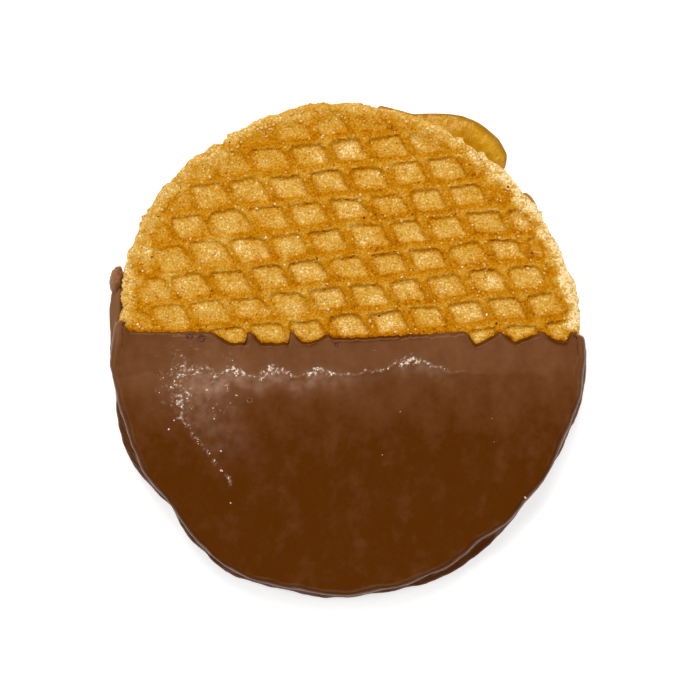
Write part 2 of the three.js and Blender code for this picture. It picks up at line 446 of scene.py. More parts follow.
# ---- Where the dip ends ----


@dataclass(frozen=True)
class Tongue:
    """A tongue of bare wafer over the dip line: it falls, runs flat and rises (along X)."""

    start: float
    fall: float
    flat: float
    rise: float
    depth: float


@dataclass(frozen=True)
class DipLine:
    """The end of the dip on top (a level line with tongues) and below (a slanting wave)."""

    level: float = 3.5
    climb_start: float = -41.0
    climb_slope: float = 0.95
    tongues: tuple[Tongue, ...] = (
        Tongue(-25.5, 3.3, 3.0, 0.4, 2.0),
        Tongue(-18.2, 2.0, 5.1, 0.4, 2.0),
        Tongue(-10.3, 2.0, 1.6, 4.0, 1.9),
        Tongue(-3.6, 1.0, 5.0, 19.0, 1.1),
        Tongue(22.6, 1.8, 0.2, 4.3, 2.3),
        Tongue(29.0, 2.9, 0.2, 4.5, 1.8),
        Tongue(36.8, 3.0, 1.8, 0.8, 1.6),
    )
    under_left: float = 15.5
    under_right: float = 1.6
    under_half: float = 47.0
    under_wave: float = 0.5
    under_length: float = 31.0

    def base(self, x: Array) -> Array:
        """Y of the line on top without its tongues: level, climbing at the left."""
        return self.level + self.climb_slope * np.maximum(0.0, self.climb_start - x)

    def top(self, x: Array) -> Array:
        """Y of the line on top: the base line less each tongue's trapezium.

        Args:
            x: places along the line.

        Returns:
            The line's Y at each place.
        """
        y = self.base(x)
        for tongue in self.tongues:
            along = x - tongue.start
            falling = along / tongue.fall
            rising = (tongue.fall + tongue.flat + tongue.rise - along) / tongue.rise
            y = y - tongue.depth * np.clip(np.minimum(falling, rising), 0.0, 1.0)
        return y

    def under(self, x: Array) -> Array:
        """Y of the line below: a straight slant plus a sine.

        Args:
            x: places along the line.

        Returns:
            The line's Y at each place.
        """
        share = (self.under_half - x) / (2.0 * self.under_half)
        wave = self.under_wave * np.sin(2.0 * np.pi * x / self.under_length)
        return mix(self.under_right, self.under_left, share) + wave


# ---- Wafers ----


class Side(Enum):
    """Which face of a wafer carries the pattern."""

    UP = 1
    DOWN = -1


@dataclass(frozen=True)
class Crust:
    """Noise layers of a baked face: heights in millimetres, or shares where they vary a tone."""

    ragged: NoiseLayer = NoiseLayer(1.5, 3)
    grit: NoiseLayer = NoiseLayer(0.75, 2, 0.05, east=9.0)
    pits: NoiseLayer = NoiseLayer(0.95, 2, north=44.0)
    rough: NoiseLayer = NoiseLayer(1.7, 3, 0.05, east=-7.0, north=5.0)
    wave: NoiseLayer = NoiseLayer(15.0, 2, 0.17)
    crumbs: NoiseLayer = NoiseLayer(1.25, 3, 0.26, east=-31.0)
    patch: NoiseLayer = NoiseLayer(6.0, 3, east=50.0, north=50.0)
    grain: NoiseLayer = NoiseLayer(0.7, 2, north=80.0)
    washed: NoiseLayer = NoiseLayer(8.0, 3, east=-11.0, north=27.0)
    mottle: NoiseLayer = NoiseLayer(2.2, 3, north=-63.0)
    worn: NoiseLayer = NoiseLayer(2.8, 3, 1.5, north=-12.0)
    uneven: NoiseLayer = NoiseLayer(7.0, 2, 0.55)
    chips: NoiseLayer = NoiseLayer(2.1, 4)
    pores: NoiseLayer = NoiseLayer(1.1, 3)


@dataclass(frozen=True)
class Browning:
    """How browned each part of a wafer is, 0 (cream) to 1 (scorched), or by how much more; some entries paint
    light or shade.
    """

    ridge: float = 0.58
    # painted light: how much lighter a ridge's upper side and darker its lower side are painted
    painted_side_light: float = 0.15
    washed: float = -0.2
    floor: float = 0.29
    floor_edge: float = 0.12
    floor_own: float = -0.07
    # painted shade in the cracks under a loose crust
    shaded_crack: float = 0.4
    # painted highlight: the loose crust's flap is painted paler
    crust: float = -0.3
    pit: float = 0.06
    # painted shade along the upper wall of each pocket
    upper_wall_shade: float = 0.14
    rim: float = 0.05
    # painted highlight: the rim paler towards +X
    rim_right_highlight: float = -0.06
    toasted_rim: float = 0.5
    # painted contact shade on the wafer by the dip line
    contact_shade: float = 0.3
    side: float = 0.2
    side_top: float = 0.22


@dataclass
class Wafer:
    """One thin waffle round: patterned on its outer face, plain on the face against the syrup."""

    name: str
    node: str
    edge: Edge
    side: Side
    base: float
    top: float
    seed: int
    columns: int = 352
    bare_rows: int = 205
    covered_rows: int = 10
    bare_from: float = -0.03
    pocket_depth: float = 0.85
    pit_depth: float = 0.07
    crack_depth: float = 0.15
    crack_width: float = 0.13
    crust_rise: float = 0.07
    crust_width: float = 0.3
    wall_width: float = 0.36
    corner: float = 0.9
    pattern: WafflePattern = WafflePattern()
    dip: DipLine = DipLine()
    crust: Crust = Crust()
    tones: Browning = Browning()

    KINDS = 64

    def __post_init__(self) -> None:
        """Draws the wafer's own noise and one depth for each pocket."""
        self.noise = NoiseField(self.seed)
        draw = np.random.default_rng(self.seed + 1)
        self.pocket_depths = draw.uniform(0.0, 1.0, (self.KINDS, self.KINDS))

    def crispness(self, x: Array, y: Array) -> Array:
        """How sharply the iron pressed: weaker to the left and at the back, from 0.6 to 1."""
        return 0.6 + 0.4 * smooth(-34.0, -4.0, x - 0.25 * (y - 20.0))

    def own_shares(self, row: Array, column: Array) -> tuple[Array, Array]:
        """Two random shares of each pocket, one for its depth and one for its wear."""
        depths, kinds = self.pocket_depths, self.KINDS
        return depths[row % kinds, column % kinds], depths[(row + 31) % kinds, (column + 17) % kinds]

    def relief(self, x: Array, y: Array) -> tuple[Array, Array]:
        """Height of the patterned face below its highest plane, and its browning with painted light and
        shade.

        The pockets sink by a smooth step across their ragged walls, each by its own depth, less
        near the rim. Soft noise waves the whole face, finer noise roughens it, a thin crust has
        come loose along the upper wall of some pockets, and the rim is rounded and crumbly. The
        tone is painted with shade along each pocket's upper wall and in the cracks under a loose
        crust, and with a highlight on the loose crust.

        Args:
            x: first coordinates.
            y: second coordinates.

        Returns:
            Heights in millimetres (0 or below, but for the noise) and browning, painted light and
            shade included, from 0 to about 1.
        """
        noise, crust = self.noise, self.crust
        inset = self.edge.radius(direction(x, y)) - np.hypot(x, y)
        row, column, offset_a, wall = self.pattern.cells(x, y, noise)
        own, other = self.own_shares(row, column)
        crisp = self.crispness(x, y) * (0.85 + 0.15 * own)
        ragged = crust.ragged.read(noise, x, y)
        inner = smooth(1.2, 5.6, inset + 1.3 * noise.at(x, y, 4.5))
        blur = self.wall_width + self.wall_width * other
        wide = 0.25 * smooth(2.0, -22.0, x)
        into = (wall - wide + 0.2 * ragged + 0.2 * (other - 0.5)) / blur
        pocket = smooth(1.0, 0.0, into + 0.5) * inner
        pits = smooth(0.28, 0.62, crust.pits.read(noise, x, y))
        loose = smooth(0.45, 0.7, other + 0.5 * noise.at(x, y, 2.1)) * smooth(0.75, 0.2, wall) * inner
        edge_line = self.pattern.half_a + 0.12 + 0.35 * ragged
        # Painted shade: besides cutting the cracks under a loose crust into the face, this darkens their
        # tone.
        shaded_crack = hump(offset_a, edge_line, self.crack_width) * loose * crisp
        # Painted highlight: the loose crust's flap stands proud and is also painted paler in the tone.
        flap = hump(offset_a, edge_line + 0.42, self.crust_width) * loose
        share = np.clip(1.0 - inset / self.corner, 0.0, 1.0)
        rim_drop = self.corner * (1.0 - np.sqrt(np.clip(1.0 - share * share, 0.0, 1.0)))
        crumbs = crust.crumbs.read(noise, x, y) * smooth(3.6, 0.2, inset)
        sunk = self.pocket_depth * crisp * (0.6 + 0.4 * own) * pocket
        sunk = sunk + self.pit_depth * pits * (0.4 + 0.6 * pocket)
        sunk = sunk + self.crack_depth * shaded_crack - self.crust_rise * flap
        rough = crust.grit.read(noise, x, y) + crust.rough.read(noise, x, y)
        height = crust.wave.read(noise, x, y) + rough + crumbs - sunk - rim_drop
        # Painted shade: the tone darkens along each pocket's upper wall, where the wall shades it from light
        # at +Y.
        upper_wall_shade = hump(wall - wide, 0.0, 0.32) * smooth(0.5, 1.5, offset_a) * inner
        inside = smooth(0.05, 0.95, pocket) * (0.55 + 0.45 * crisp)
        face = self.face_tone(x, y, offset_a, wall, own, inside)
        tones = self.tones
        face = face + tones.pit * pits + tones.shaded_crack * shaded_crack + tones.crust * flap
        return height, self.rim_tone(x, y, inset, face + tones.upper_wall_shade * upper_wall_shade)

    def face_tone(self, x: Array, y: Array, offset_a: Array, wall: Array, own: Array, inside: Array) -> Array:
        """Browning of the ridges and pocket floors.

        The ridges are darker and patchy, paler where they are washed out at the left, and painted
        lighter on their upper (+Y) side and darker on their lower side, as light from +Y would show
        them; the floors are pale, a little darker by their walls.

        Args:
            x: first coordinates.
            y: second coordinates.
            offset_a: offset across the first set of ridges.
            wall: distance from the pocket's wall.
            own: each pocket's random share.
            inside: share of being on a pocket's floor.

        Returns:
            The browning of each point.
        """
        noise, crust, tones = self.noise, self.crust, self.tones
        patch, mottle = crust.patch.read(noise, x, y), crust.mottle.read(noise, x, y)
        # Painted light and shade: each ridge is lighter on its upper (+Y) side and darker on its lower side,
        # as if lit from +Y.
        slope = tones.painted_side_light * np.sin(2.0 * np.pi * offset_a / self.pattern.spacing_a)
        painted_side_light = 0.05 - (0.05 + slope) * smooth(0.9, 2.0, np.abs(offset_a))
        washed = smooth(0.05, 0.75, crust.washed.read(noise, x, y)) * smooth(10.0, -20.0, x)
        ridge = tones.ridge + painted_side_light + 0.1 * patch + 0.12 * mottle + tones.washed * washed
        floor = tones.floor + 0.12 * patch + 0.08 * mottle
        floor = floor + tones.floor_edge * smooth(-1.1, -0.1, wall) + tones.floor_own * own
        return mix(ridge, floor, inside) + 0.06 * crust.grain.read(noise, x, y)

    def rim_tone(self, x: Array, y: Array, inset: Array, face: Array) -> Array:
        """Browning with the pale rim, painted paler still towards the right as a highlight, toasted at
        the far side, and darkened by the dip line as painted contact shade.

        Args:
            x: first coordinates.
            y: second coordinates.
            inset: distance in from the outline.
            face: browning of the face without its rim.

        Returns:
            The browning of each point, from 0 to 1.
        """
        noise, crust, tones = self.noise, self.crust, self.tones
        grain = crust.grain.read(noise, x, y)
        pale = smooth(3.6, 0.6, inset + crust.worn.read(noise, x, y))
        rim = tones.rim + 0.12 * grain + 0.08 * crust.patch.read(noise, x, y)
        # Painted highlight: the pale rim is paler still towards +X, and its pale share grows towards +X and
        # +Y, where the light comes from.
        rim = rim + tones.rim_right_highlight * smooth(12.0, 36.0, x)
        toasted = tones.toasted_rim * hump(x, 2.0, 22.0) * smooth(25.0, 40.0, y)
        tone = mix(face, rim, pale * (0.7 + 0.3 * smooth(-30.0, 30.0, x + 0.3 * y) - toasted))
        # Painted shade: the wafer darkens just above the dip line, where the chocolate's lip shades it.
        contact_shade = smooth(0.75, 0.1, y - self.dip.top(x) + 0.3 * grain)
        return np.clip(tone + tones.contact_shade * contact_shade, 0.0, 1.0)

    def face_height(self, x: Array, y: Array) -> Array:
        """Height of the patterned face above the table at each point (for an upward face)."""
        return self.top + self.relief(x, y)[0]

    def shape(self) -> Surface:
        """Builds the closed wafer.

        The patterned face is a square grid bent into the disc, u sqrt(1 - v^2/2) by
        v sqrt(1 - u^2/2), stretched to the outline in each direction. Rings carry its border down
        the crumbly side, and the plain face closes in a fan.

        Returns:
            The surface, with browning, painted light and shade included, as a look.
        """
        u = np.linspace(-1.0, 1.0, self.columns)[None, :]
        covered = np.linspace(-1.0, self.bare_from, self.covered_rows + 1)[:-1]
        v = np.concatenate((covered, np.linspace(self.bare_from, 1.0, self.bare_rows)))[:, None]
        disc_x, disc_y = u * np.sqrt(1.0 - v * v / 2.0), v * np.sqrt(1.0 - u * u / 2.0)
        share, angle = np.hypot(disc_x, disc_y), direction(disc_x, disc_y)
        ragged_x, ragged_y = polar(self.edge.radius(angle), angle)
        ragged_x, ragged_y = polar(self.edge.radius(angle), angle)
        uneven = self.crust.uneven.read(self.noise, ragged_x, ragged_y)
        chipped = 0.25 + 0.55 * smooth(-0.2, 0.6, self.noise.at(ragged_x + 40.0, ragged_y, 6.0))
        fine = chipped * self.crust.chips.read(self.noise, ragged_y, ragged_x)
        ragged = (uneven + fine) * smooth(0.88, 1.0, share)
        x, y = polar(share * (self.edge.radius(angle) + ragged), angle)
        height, browning_and_painted_light = self.relief(x, y)
        face = np.stack((x, y, self.top + height), axis=-1).reshape(-1, 3)
        rows, columns = x.shape
        number = np.arange(rows * columns).reshape(rows, columns)
        border = (number[0, :-1], number[:-1, -1], number[-1, :0:-1], number[:0:-1, 0])
        border = np.concatenate(border)
        rings, tones = self.side_rings(face[border])
        count = len(border)
        points = np.concatenate((face, rings.reshape(-1, 3), [[0.0, 0.0, self.base]]))
        looks = np.concatenate((browning_and_painted_light.ravel(), tones.ravel(), [self.tones.side]))
        side = grid_faces(len(rings), count, start=len(face), wrap=True)[:, ::-1]
        first = np.arange(len(face), len(face) + count)
        join = np.stack((border, first, np.roll(first, -1), np.roll(border, -1)), axis=-1)
        last = np.arange(count) + len(points) - 1 - count
        bottom = fan_faces(last, len(points) - 1)[:, ::-1]
        faces = [grid_faces(rows, columns), join, side, bottom]
        if self.side is Side.DOWN:
            points[:, 2] = self.base + self.top - points[:, 2]
            faces = [f[:, ::-1] for f in faces]
        return Surface(points, faces, {"browning_and_painted_light": looks})

    def side_rings(self, border: Array) -> tuple[Array, Array]:
        """Rings from the patterned face's border down the side and a little way under.

        Args:
            border: points of the face's border, in order.

        Returns:
            The rings' points, one row a ring, and their browning.
        """
        x, y = border[:, 0][None, :], border[:, 1][None, :]
        start = border[:, 2][None, :]
        fall = np.linspace(0.0, 1.0, 9)[1:, None]
        z = mix(start, self.base + 0.12, fall)
        tuck = 1.0 - (0.35 / WAFER_RADIUS) * smooth(0.7, 1.0, fall)
        pores = self.crust.pores.read(self.noise, x + 5.1 * z, y - 4.3 * z)
        swell = 1.0 + (0.16 / WAFER_RADIUS) * pores * np.sin(np.pi * np.clip(fall, 0.05, 1.0))
        side = np.stack((x * swell * tuck, y * swell * tuck, z), axis=-1)
        inner = np.array([0.985, 0.9, 0.45])[:, None]
        flat = np.stack((x * inner, y * inner, np.full((3, x.shape[1]), self.base)), axis=-1)
        side_tone = self.tones.side + 0.16 * pores + self.tones.side_top * smooth(0.2, 0.0, fall)
        tones = (np.clip(side_tone, 0.0, 1.0), np.full(flat.shape[:2], self.tones.side))
        return np.concatenate((side, flat)), np.concatenate(tones)

    def build(self, levels: Levels, material: bpy.types.Material) -> bpy.types.Object:
        """Makes the wafer and puts it in its node's place."""
        piece = self.shape().to_object(self.name, levels, material)
        return settle(piece, "wafer", [self.node])


# ---- Syrup ----


@dataclass(frozen=True)
class Ooze:
    """A drop of syrup pressed out of the seam: steep at its start, drawn out to a tail at its end."""

    start: float
    peak: float
    end: float
    tail_end: float
    out: float
    tail: float
    rise: float

    def reach(self, angle: Array) -> tuple[Array, Array]:
        """How far the drop stands out, and how high it swells, in each direction.

        Args:
            angle: directions in degrees.

        Returns:
            Reach in millimetres and swell from 0 to 1.
        """
        before = np.sqrt(np.clip(1.0 - ((angle - self.peak) / (self.peak - self.start)) ** 2, 0.0, 1.0))
        after = np.clip(1.0 - ((angle - self.peak) / (self.end - self.peak)) ** 2, 0.0, 1.0) ** 1.5
        swell = np.where(angle < self.peak, before, after)
        thread = smooth(self.start, self.start + 2.0, angle)
        thread = thread * smooth(self.tail_end, self.tail_end - 2.0, angle)
        return self.out * swell + self.tail * thread, swell


@dataclass
class Filling:
    """The syrup: a disc between the wafers whose side bulges, with drops pressed out of the seam."""

    name: str = "syrup_filling"
    oozes: tuple[Ooze, ...] = (
        Ooze(49.0, 59.0, 75.0, 84.0, 4.1, 0.6, 1.55),
        Ooze(36.5, 39.4, 43.2, 44.0, 0.75, 0.0, 0.8),
    )
    setback: float = 0.75
    sag: float = 0.6
    crinkled_at: float = 53.0
    side: NoiseLayer = NoiseLayer(4.0, 3, 0.3)
    lumps: NoiseLayer = NoiseLayer(1.6, 3)
    around: int = 900
    section: int = 26
    seed: int = 41

    def shape(self, levels: Levels) -> Surface:
        """Builds the closed disc.

        For each direction the section is a half oval from the top plane out over the bulge and
        back to the bottom plane; past the wafers' edges the oval swells and sags.

        Args:
            levels: the layers' heights.

        Returns:
            The surface, with the nearness of each drop's outer edge as a look, which the finish uses to paint
            shade on the drop's rim.
        """
        noise = NoiseField(self.seed)
        angle = np.linspace(0.0, FULL_TURN, self.around, endpoint=False)[None, :]
        upper, lower = UPPER_EDGE.radius(angle), LOWER_EDGE.radius(angle)
        inner_edge, outer_edge = np.minimum(upper, lower), np.maximum(upper, lower)
        on_edge = polar(inner_edge, angle)
        plain = self.side.read(noise, *on_edge) - self.setback
        reach, swell, rise, covered = (np.zeros_like(angle) for _ in range(4))
        for ooze in self.oozes:
            out, own = ooze.reach(angle)
            reach, swell = reach + out * (1.0 + 0.04 * noise.at(*on_edge, 3.0)), swell + own
            rise = rise + ooze.rise * own
            covered = covered + smooth(0.0, 0.5, out)
        tip = mix(inner_edge + plain, outer_edge + reach, covered)
        half_gap = 0.5 * (levels.upper_base - levels.lower_top)
        root = inner_edge - 3.0
        phase = np.linspace(0.0, np.pi, self.section)[:, None]
        radius = root + (tip - root) * np.sin(phase) ** 0.75
        free = smooth(outer_edge - 0.3, outer_edge + 1.2, radius)
        half_height = half_gap + np.maximum(rise - half_gap, 0.0) * free
        crinkles = 0.16 + 0.22 * hump(angle, self.crinkled_at, 3.5)
        lumps = crinkles * self.lumps.read(noise, *polar(radius, angle))
        z = levels.seam + half_height * np.cos(phase) - self.sag * swell * free
        z = z + lumps * free * np.sin(phase)
        # Painted shade: each drop's outer rim gets a darker tone, the dark edge a clear drop shows in the
        # light.
        thin = smooth(0.75, 1.0, np.sin(phase)) * covered
        inside = polar(root * 0.5, angle)
        top = np.stack((*inside, np.full_like(angle, levels.upper_base)), axis=-1)
        bottom = np.stack((*inside, np.full_like(angle, levels.lower_top)), axis=-1)
        rings = np.concatenate((top, np.stack((*polar(radius, angle), z), axis=-1), bottom))
        rows, columns = rings.shape[:2]
        hubs = [[0.0, 0.0, levels.upper_base], [0.0, 0.0, levels.lower_top]]
        points = np.concatenate((rings.reshape(-1, 3), hubs))
        none = np.zeros((1, columns))
        edge_tone = np.concatenate((none, thin, none)).ravel()
        faces = closed_tube(rows, columns)
        return Surface(points, faces, {"thin": np.concatenate((edge_tone, [0.0, 0.0]))})

    def build(self, levels: Levels, material: bpy.types.Material) -> bpy.types.Object:
        """Makes the filling and puts it in its node's place."""
        return settle(self.shape(levels).to_object(self.name, levels, material), "syrup", ["syrup"])


# ---- Chocolate coat ----


@dataclass(frozen=True)
class Marks:
    """How strong each mark on the chocolate is: shares of painted sheen and shade, of grey tone, and of pale
    specks and painted glints.
    """

    rise: float = 0.2
    band: float = 0.11
    below_crest: float = 0.1
    left: float = 0.04
    patch: float = 0.14
    # painted shade on the coat just under the tongues
    seam: float = 0.4
    side: float = 0.3
    grey_crest: float = 0.24
    grey_rise: float = 0.16
    grey_beside: float = 0.11
    grey_patch: float = 0.1
    # painted glints along the crest
    glint_crest: float = 1.7
    frost_patch: float = 0.5
    frost_split: float = 0.28


@dataclass
class Coat:
    """The dipped chocolate: one skin from the dip line on top, round the rims, to the line below.

    Points are numbered by columns, from the left end of the dip line to the right end, and rows,
    from the top line over the rim to the line below. The inner skin lies on the wafers.
    """
    wafer: Wafer
    dip: DipLine
    levels: Levels
    name: str = "chocolate_coat"
    columns: int = 420
    near_rows: int = 60
    far_rows: int = 52
    under_steps: int = 17
    near_reach: float = 13.0
    thickness: float = 0.9
    lip: float = 0.5
    end_lip: float = 2.4
    left_drip: float = 0.75
    top_corner: float = 1.5
    foot_corner: float = 1.1
    groove: float = 0.35
    tongue_fade: float = 6.5
    line_thickness: float = 0.5
    full_thickness: float = 0.74
    crest_step: float = 0.09
    bead: float = 0.12
    frost_rise: float = 0.07
    split_rise: float = 0.03
    crest_level: float = -4.35
    crest_rise: float = 2.3
    ripple: float = 0.58
    ripple_length: float = 8.2
    upper_ends: tuple[float, float] = (172.6, 363.8)
    lower_ends: tuple[float, float] = (161.0, 361.6)
    inner_stride: int = 4
    sink: float = 0.06
    seed: int = 77
    line_noise: NoiseLayer = NoiseLayer(1.4, 3, 0.2)
    under_noise: NoiseLayer = NoiseLayer(2.4, 3, 0.25, north=9.0)
    crest_noise: NoiseLayer = NoiseLayer(2.6, 4, 0.55)
    corner_noise: NoiseLayer = NoiseLayer(6.0, 2, 0.35, north=71.0)
    grey_noise: NoiseLayer = NoiseLayer(1.9, 3, 1.1, north=90.0)
    crystals_and_glints: NoiseLayer = NoiseLayer(0.62, 2, north=15.0)
    clumps: NoiseLayer = NoiseLayer(3.4, 2)
    waves: NoiseLayer = NoiseLayer(13.0, 2, 0.05)
    marks: Marks = Marks()

    def __post_init__(self) -> None:
        """Draws the coat's own noise and lays out its columns."""
        self.noise = NoiseField(self.seed)
        self.along = np.linspace(0.0, 1.0, self.columns)[None, :]
        self.rim_length = np.radians(self.upper_ends[1] - self.upper_ends[0]) * WAFER_RADIUS

    def line(self, along: Array) -> tuple[Array, Array]:
        """Points of the dip line on top.

        Args:
            along: shares of the line's length, from its left end.

        Returns:
            X and Y of the points.
        """
        ends = np.array(self.upper_ends)
        end_x = polar(UPPER_EDGE.radius(ends) - 0.5, ends)[0]
        x = mix(end_x[0], end_x[1], along)
        return x, self.dip.top(x) + self.line_noise.along(self.noise, x)

    def from_line(self, x: Array, y: Array) -> Array:
        """Distance of each point from the dip line: the least to any of its many close points."""
        line_x, line_y = self.line(np.linspace(0.0, 1.0, 6 * self.columns))
        rows = [np.hypot(a[:, None] - line_x, b[:, None] - line_y).min(axis=1) for a, b in zip(x, y)]
        return np.stack(rows)

    def crest(self, x: Array) -> Array:
        """Y of the wavy line where the second, thicker run of chocolate stopped.

        A level line, a cosine over its left half, and one broad rise on the right.

        Args:
            x: places along the line.

        Returns:
            The line's Y at each place.
        """
        phase = 2.0 * np.pi * (x + 21.7) / self.ripple_length
        ripples = self.ripple * np.cos(phase) * smooth(1.5, -4.0, x)
        broken = self.crest_noise.along(self.noise, x)
        return self.crest_level + self.crest_rise * hump(x, 12.5, 5.5) + ripples + broken

    def patch(self, x: Array, y: Array) -> Array:
        """Share of being in the rough patch at the upper left, 1 in its middle."""
        return hump(x, -28.5, 5.5) * hump(y, -6.0, 4.6)

    def split_x(self, x: Array, y: Array) -> Array:
        """X of the fine split at each height: straight down, then down to the right."""
        slant = 0.78 * np.maximum(0.0, -12.5 - y)
        return -31.7 + slant + 0.7 * self.noise.layered(0.0 * x, y, 3.5, 2)

    def split(self, x: Array, y: Array) -> Array:
        """Share of being on the fine split from the patch: straight down, then down to the right."""
        width = mix(0.28, 1.1, smooth(-20.0, -6.0, y))
        return hump(x, self.split_x(x, y), width) * smooth(-1.5, -4.0, y) * smooth(-27.0, -24.5, y)

    def haze(self, x: Array, y: Array) -> Array:
        """Share of a soft grey tone: below the crest, in the patch and to the right of the split.

        Args:
            x: first coordinates.
            y: second coordinates.

        Returns:
            Shares from 0 to 1.
        """
        below = self.crest(x) - y
        off_split = x - self.split_x(x, y)
        marks = self.marks
        grey_share = marks.grey_crest * hump(below, 1.2, 1.8) * smooth(8.0, -8.0, x) * smooth(-34.0, -27.0, x)
        grey_share = grey_share + marks.grey_rise * hump(below, 1.0, 1.5) * hump(x, 14.0, 5.0)
        beside = smooth(-0.5, 1.5, off_split) * smooth(14.0, 5.0, off_split)
        grey_share = grey_share + marks.grey_beside * beside * smooth(-25.0, -14.0, y) * smooth(-4.0, -8.0, y)
        grey_share = grey_share + marks.grey_patch * self.patch(x, y)
        return np.clip(grey_share * (1.0 + self.grey_noise.read(self.noise, x, y)), 0.0, 1.0)

    def frost_and_glint(self, x: Array, y: Array) -> Array:
        """Share of pale specks: painted glints in spots along the crest, pale crystal specks in the patch and
        the split.

        Args:
            x: first coordinates.
            y: second coordinates.

        Returns:
            Shares from 0 to 1.
        """
        fine = self.crystals_and_glints.read(self.noise, x, y)
        spots = smooth(-0.1, 0.6, fine)
        ripples = 0.5 * np.cos(2.0 * np.pi * x / self.ripple_length + 4.2)
        strength = self.clumps.along(self.noise, x) + ripples
        streaks = strength - 0.8 * smooth(-4.0, 3.0, x) + 1.1 * hump(x, 13.0, 4.5)
        streaks = smooth(-0.5, 0.7, streaks)
        # Along the crest the pale spots are painted glints of light; in the patch and the split they are pale
        # crystal specks.
        off_crest = (y - self.crest(x) - 0.25 * fine) / (0.2 + 0.42 * streaks)
        crest = np.exp(-off_crest**2) * smooth(23.0, 14.0, x) * smooth(-28.0, -23.0, x)
        gaps = smooth(0.0, 0.5, self.noise.layered(x, y, 2.6, 2))
        marks = self.marks
        spread = marks.glint_crest * crest * (0.25 + streaks) + marks.frost_patch * self.patch(x, y) * gaps
        spread = spread + marks.frost_split * self.split(x, y)
        return np.clip(spots * spread, 0.0, 1.0)

    def body(self, x: Array, y: Array, border: Array) -> Array:
        """Thickness on top before the lips: thin by the dip line, full past the crest.

        A ramp from the dip line, a small step with a broken bead at the crest, a rough patch, a
        split, and soft waves over the whole.

        Args:
            x: first coordinates.
            y: second coordinates.
            border: distance from the dip line.

        Returns:
            Thickness in millimetres.
        """
        noise = self.noise
        past = self.crest(x) - y
        fade = smooth(32.0, 20.0, x) * smooth(-38.0, -30.0, x)
        ramp = mix(self.line_thickness, self.full_thickness, smooth(0.0, 5.0, border))
        step = self.crest_step * smooth(-0.3, 0.3, past) * fade + 0.1 * smooth(0.0, 6.0, past)
        broken = 0.55 + 0.6 * noise.layered(x, y, 0.9, 2)
        bead = self.bead * hump(past, 0.1, 0.3) * fade * broken
        rough = self.patch(x, y) * (0.05 * noise.layered(x, y, 0.8, 2) + 0.05 * noise.at(x, y, 2.2))
        wave = self.waves.read(noise, x, y) + 0.008 * noise.layered(x, y, 2.6, 2)
        thickness = ramp + step + bead + rough + wave
        return thickness + self.frost_rise * self.frost_and_glint(x, y) + self.split_rise * self.split(x, y)

    def lips(self, distance: Array, width: float) -> Array:
        """Rounds an end off: a quarter circle from 0 at the end to 1 past the lip's width."""
        share = 1.0 - np.clip(distance / width, 0.0, 1.0)
        return np.sqrt(np.clip(1.0 - share * share, 0.0, 1.0))

    def end_distance(self) -> Array:
        """Distance of each column from the nearer end of the dip line, along the rim."""
        return np.minimum(self.along, 1.0 - self.along) * self.rim_length

    def side_thickness(self, shift: float) -> Array:
        """Thickness of the chocolate on a rim along the dip: thicker and thinner by soft noise.

        Args:
            shift: where in the noise it is read, so that the two rims differ.

        Returns:
            Thickness in millimetres, one for each column.
        """
        uneven = NoiseLayer(9.0, 3, 0.42, north=shift).along(self.noise, self.along * self.rim_length)
        return self.thickness * self.lips(self.end_distance(), self.end_lip) * (1.0 + uneven)

    def corner_radius(self) -> Array:
        """Radius of the rounded top corner along the rim: 1 to 2 mm by soft noise."""
        uneven = self.corner_noise.along(self.noise, self.along * self.rim_length)
        return self.top_corner * (1.0 + uneven)

    def settle_share(self, border: Array) -> Array:
        """How far the skin follows the waffle pattern below it: fully at the line, not further in."""
        return smooth(0.8, 0.0, border)

    def surface_height(self, x: Array, y: Array) -> Array:
        """Height of the coat's top above the table, away from its ends.

        Args:
            x: first coordinates.
            y: second coordinates.

        Returns:
            Heights in millimetres.
        """
        border = self.from_line(x[None, :], y[None, :])[0]
        relief = self.wafer.relief(x, y)[0] * self.settle_share(border)
        return self.levels.upper_top + relief + self.body(x, y, border) * self.lips(border, self.lip)

    def top_rows(self, cover: float) -> Array:
        """Rows on top, from the dip line to the rim's rounded corner.

        Each column runs straight from the line's base to the rim, and is pushed down by its
        tongue, less and less with the distance. The first rows lie close together. The skin rests
        tongue, less and less with the distance. The first rows lie close together. The skin rests
        on the waffle pattern near the line and on the level plane further in.

        Args:
            cover: 1 for the outer skin, 0 for the inner one.

        Returns:
            Points, one row of columns for each row.
        """
        angle = mix(*self.upper_ends, self.along)
        reach = UPPER_EDGE.radius(angle) + self.side_thickness(0.0) * cover
        rim_x, rim_y = polar(reach - self.corner_radius(), angle)
        line_x, line_y = self.line(self.along)
        base_y = self.dip.base(line_x)
        length = np.hypot(rim_x - line_x, rim_y - base_y)
        near = np.minimum(self.near_reach, 0.6 * length)
        near_share = (np.linspace(0.0, 1.0, self.near_rows) ** 1.15)[:, None] * near / length
        far_share = mix(near / length, 1.0, np.linspace(0.0, 1.0, self.far_rows + 1)[1:, None])
        share = np.concatenate((near_share, far_share))
        fade = 1.0 - smooth(0.0, 1.0, share * length / np.minimum(self.tongue_fade, length))
        x = mix(line_x, rim_x, share)
        y = mix(base_y, rim_y, share) + (line_y - base_y) * fade
        border = self.from_line(x, y)
        lip = self.lips(border, self.lip) * self.lips(self.end_distance(), self.end_lip)
        relief = self.wafer.relief(x, y)[0] * self.settle_share(border)
        settled = smooth(1.0, 0.85, share)
        height = self.body(x, y, border) * settled + self.thickness * (1.0 - settled)
        z = self.levels.upper_top + relief * settled - self.sink + (height * lip + self.sink) * cover
        return np.stack((x, y, z), axis=-1)

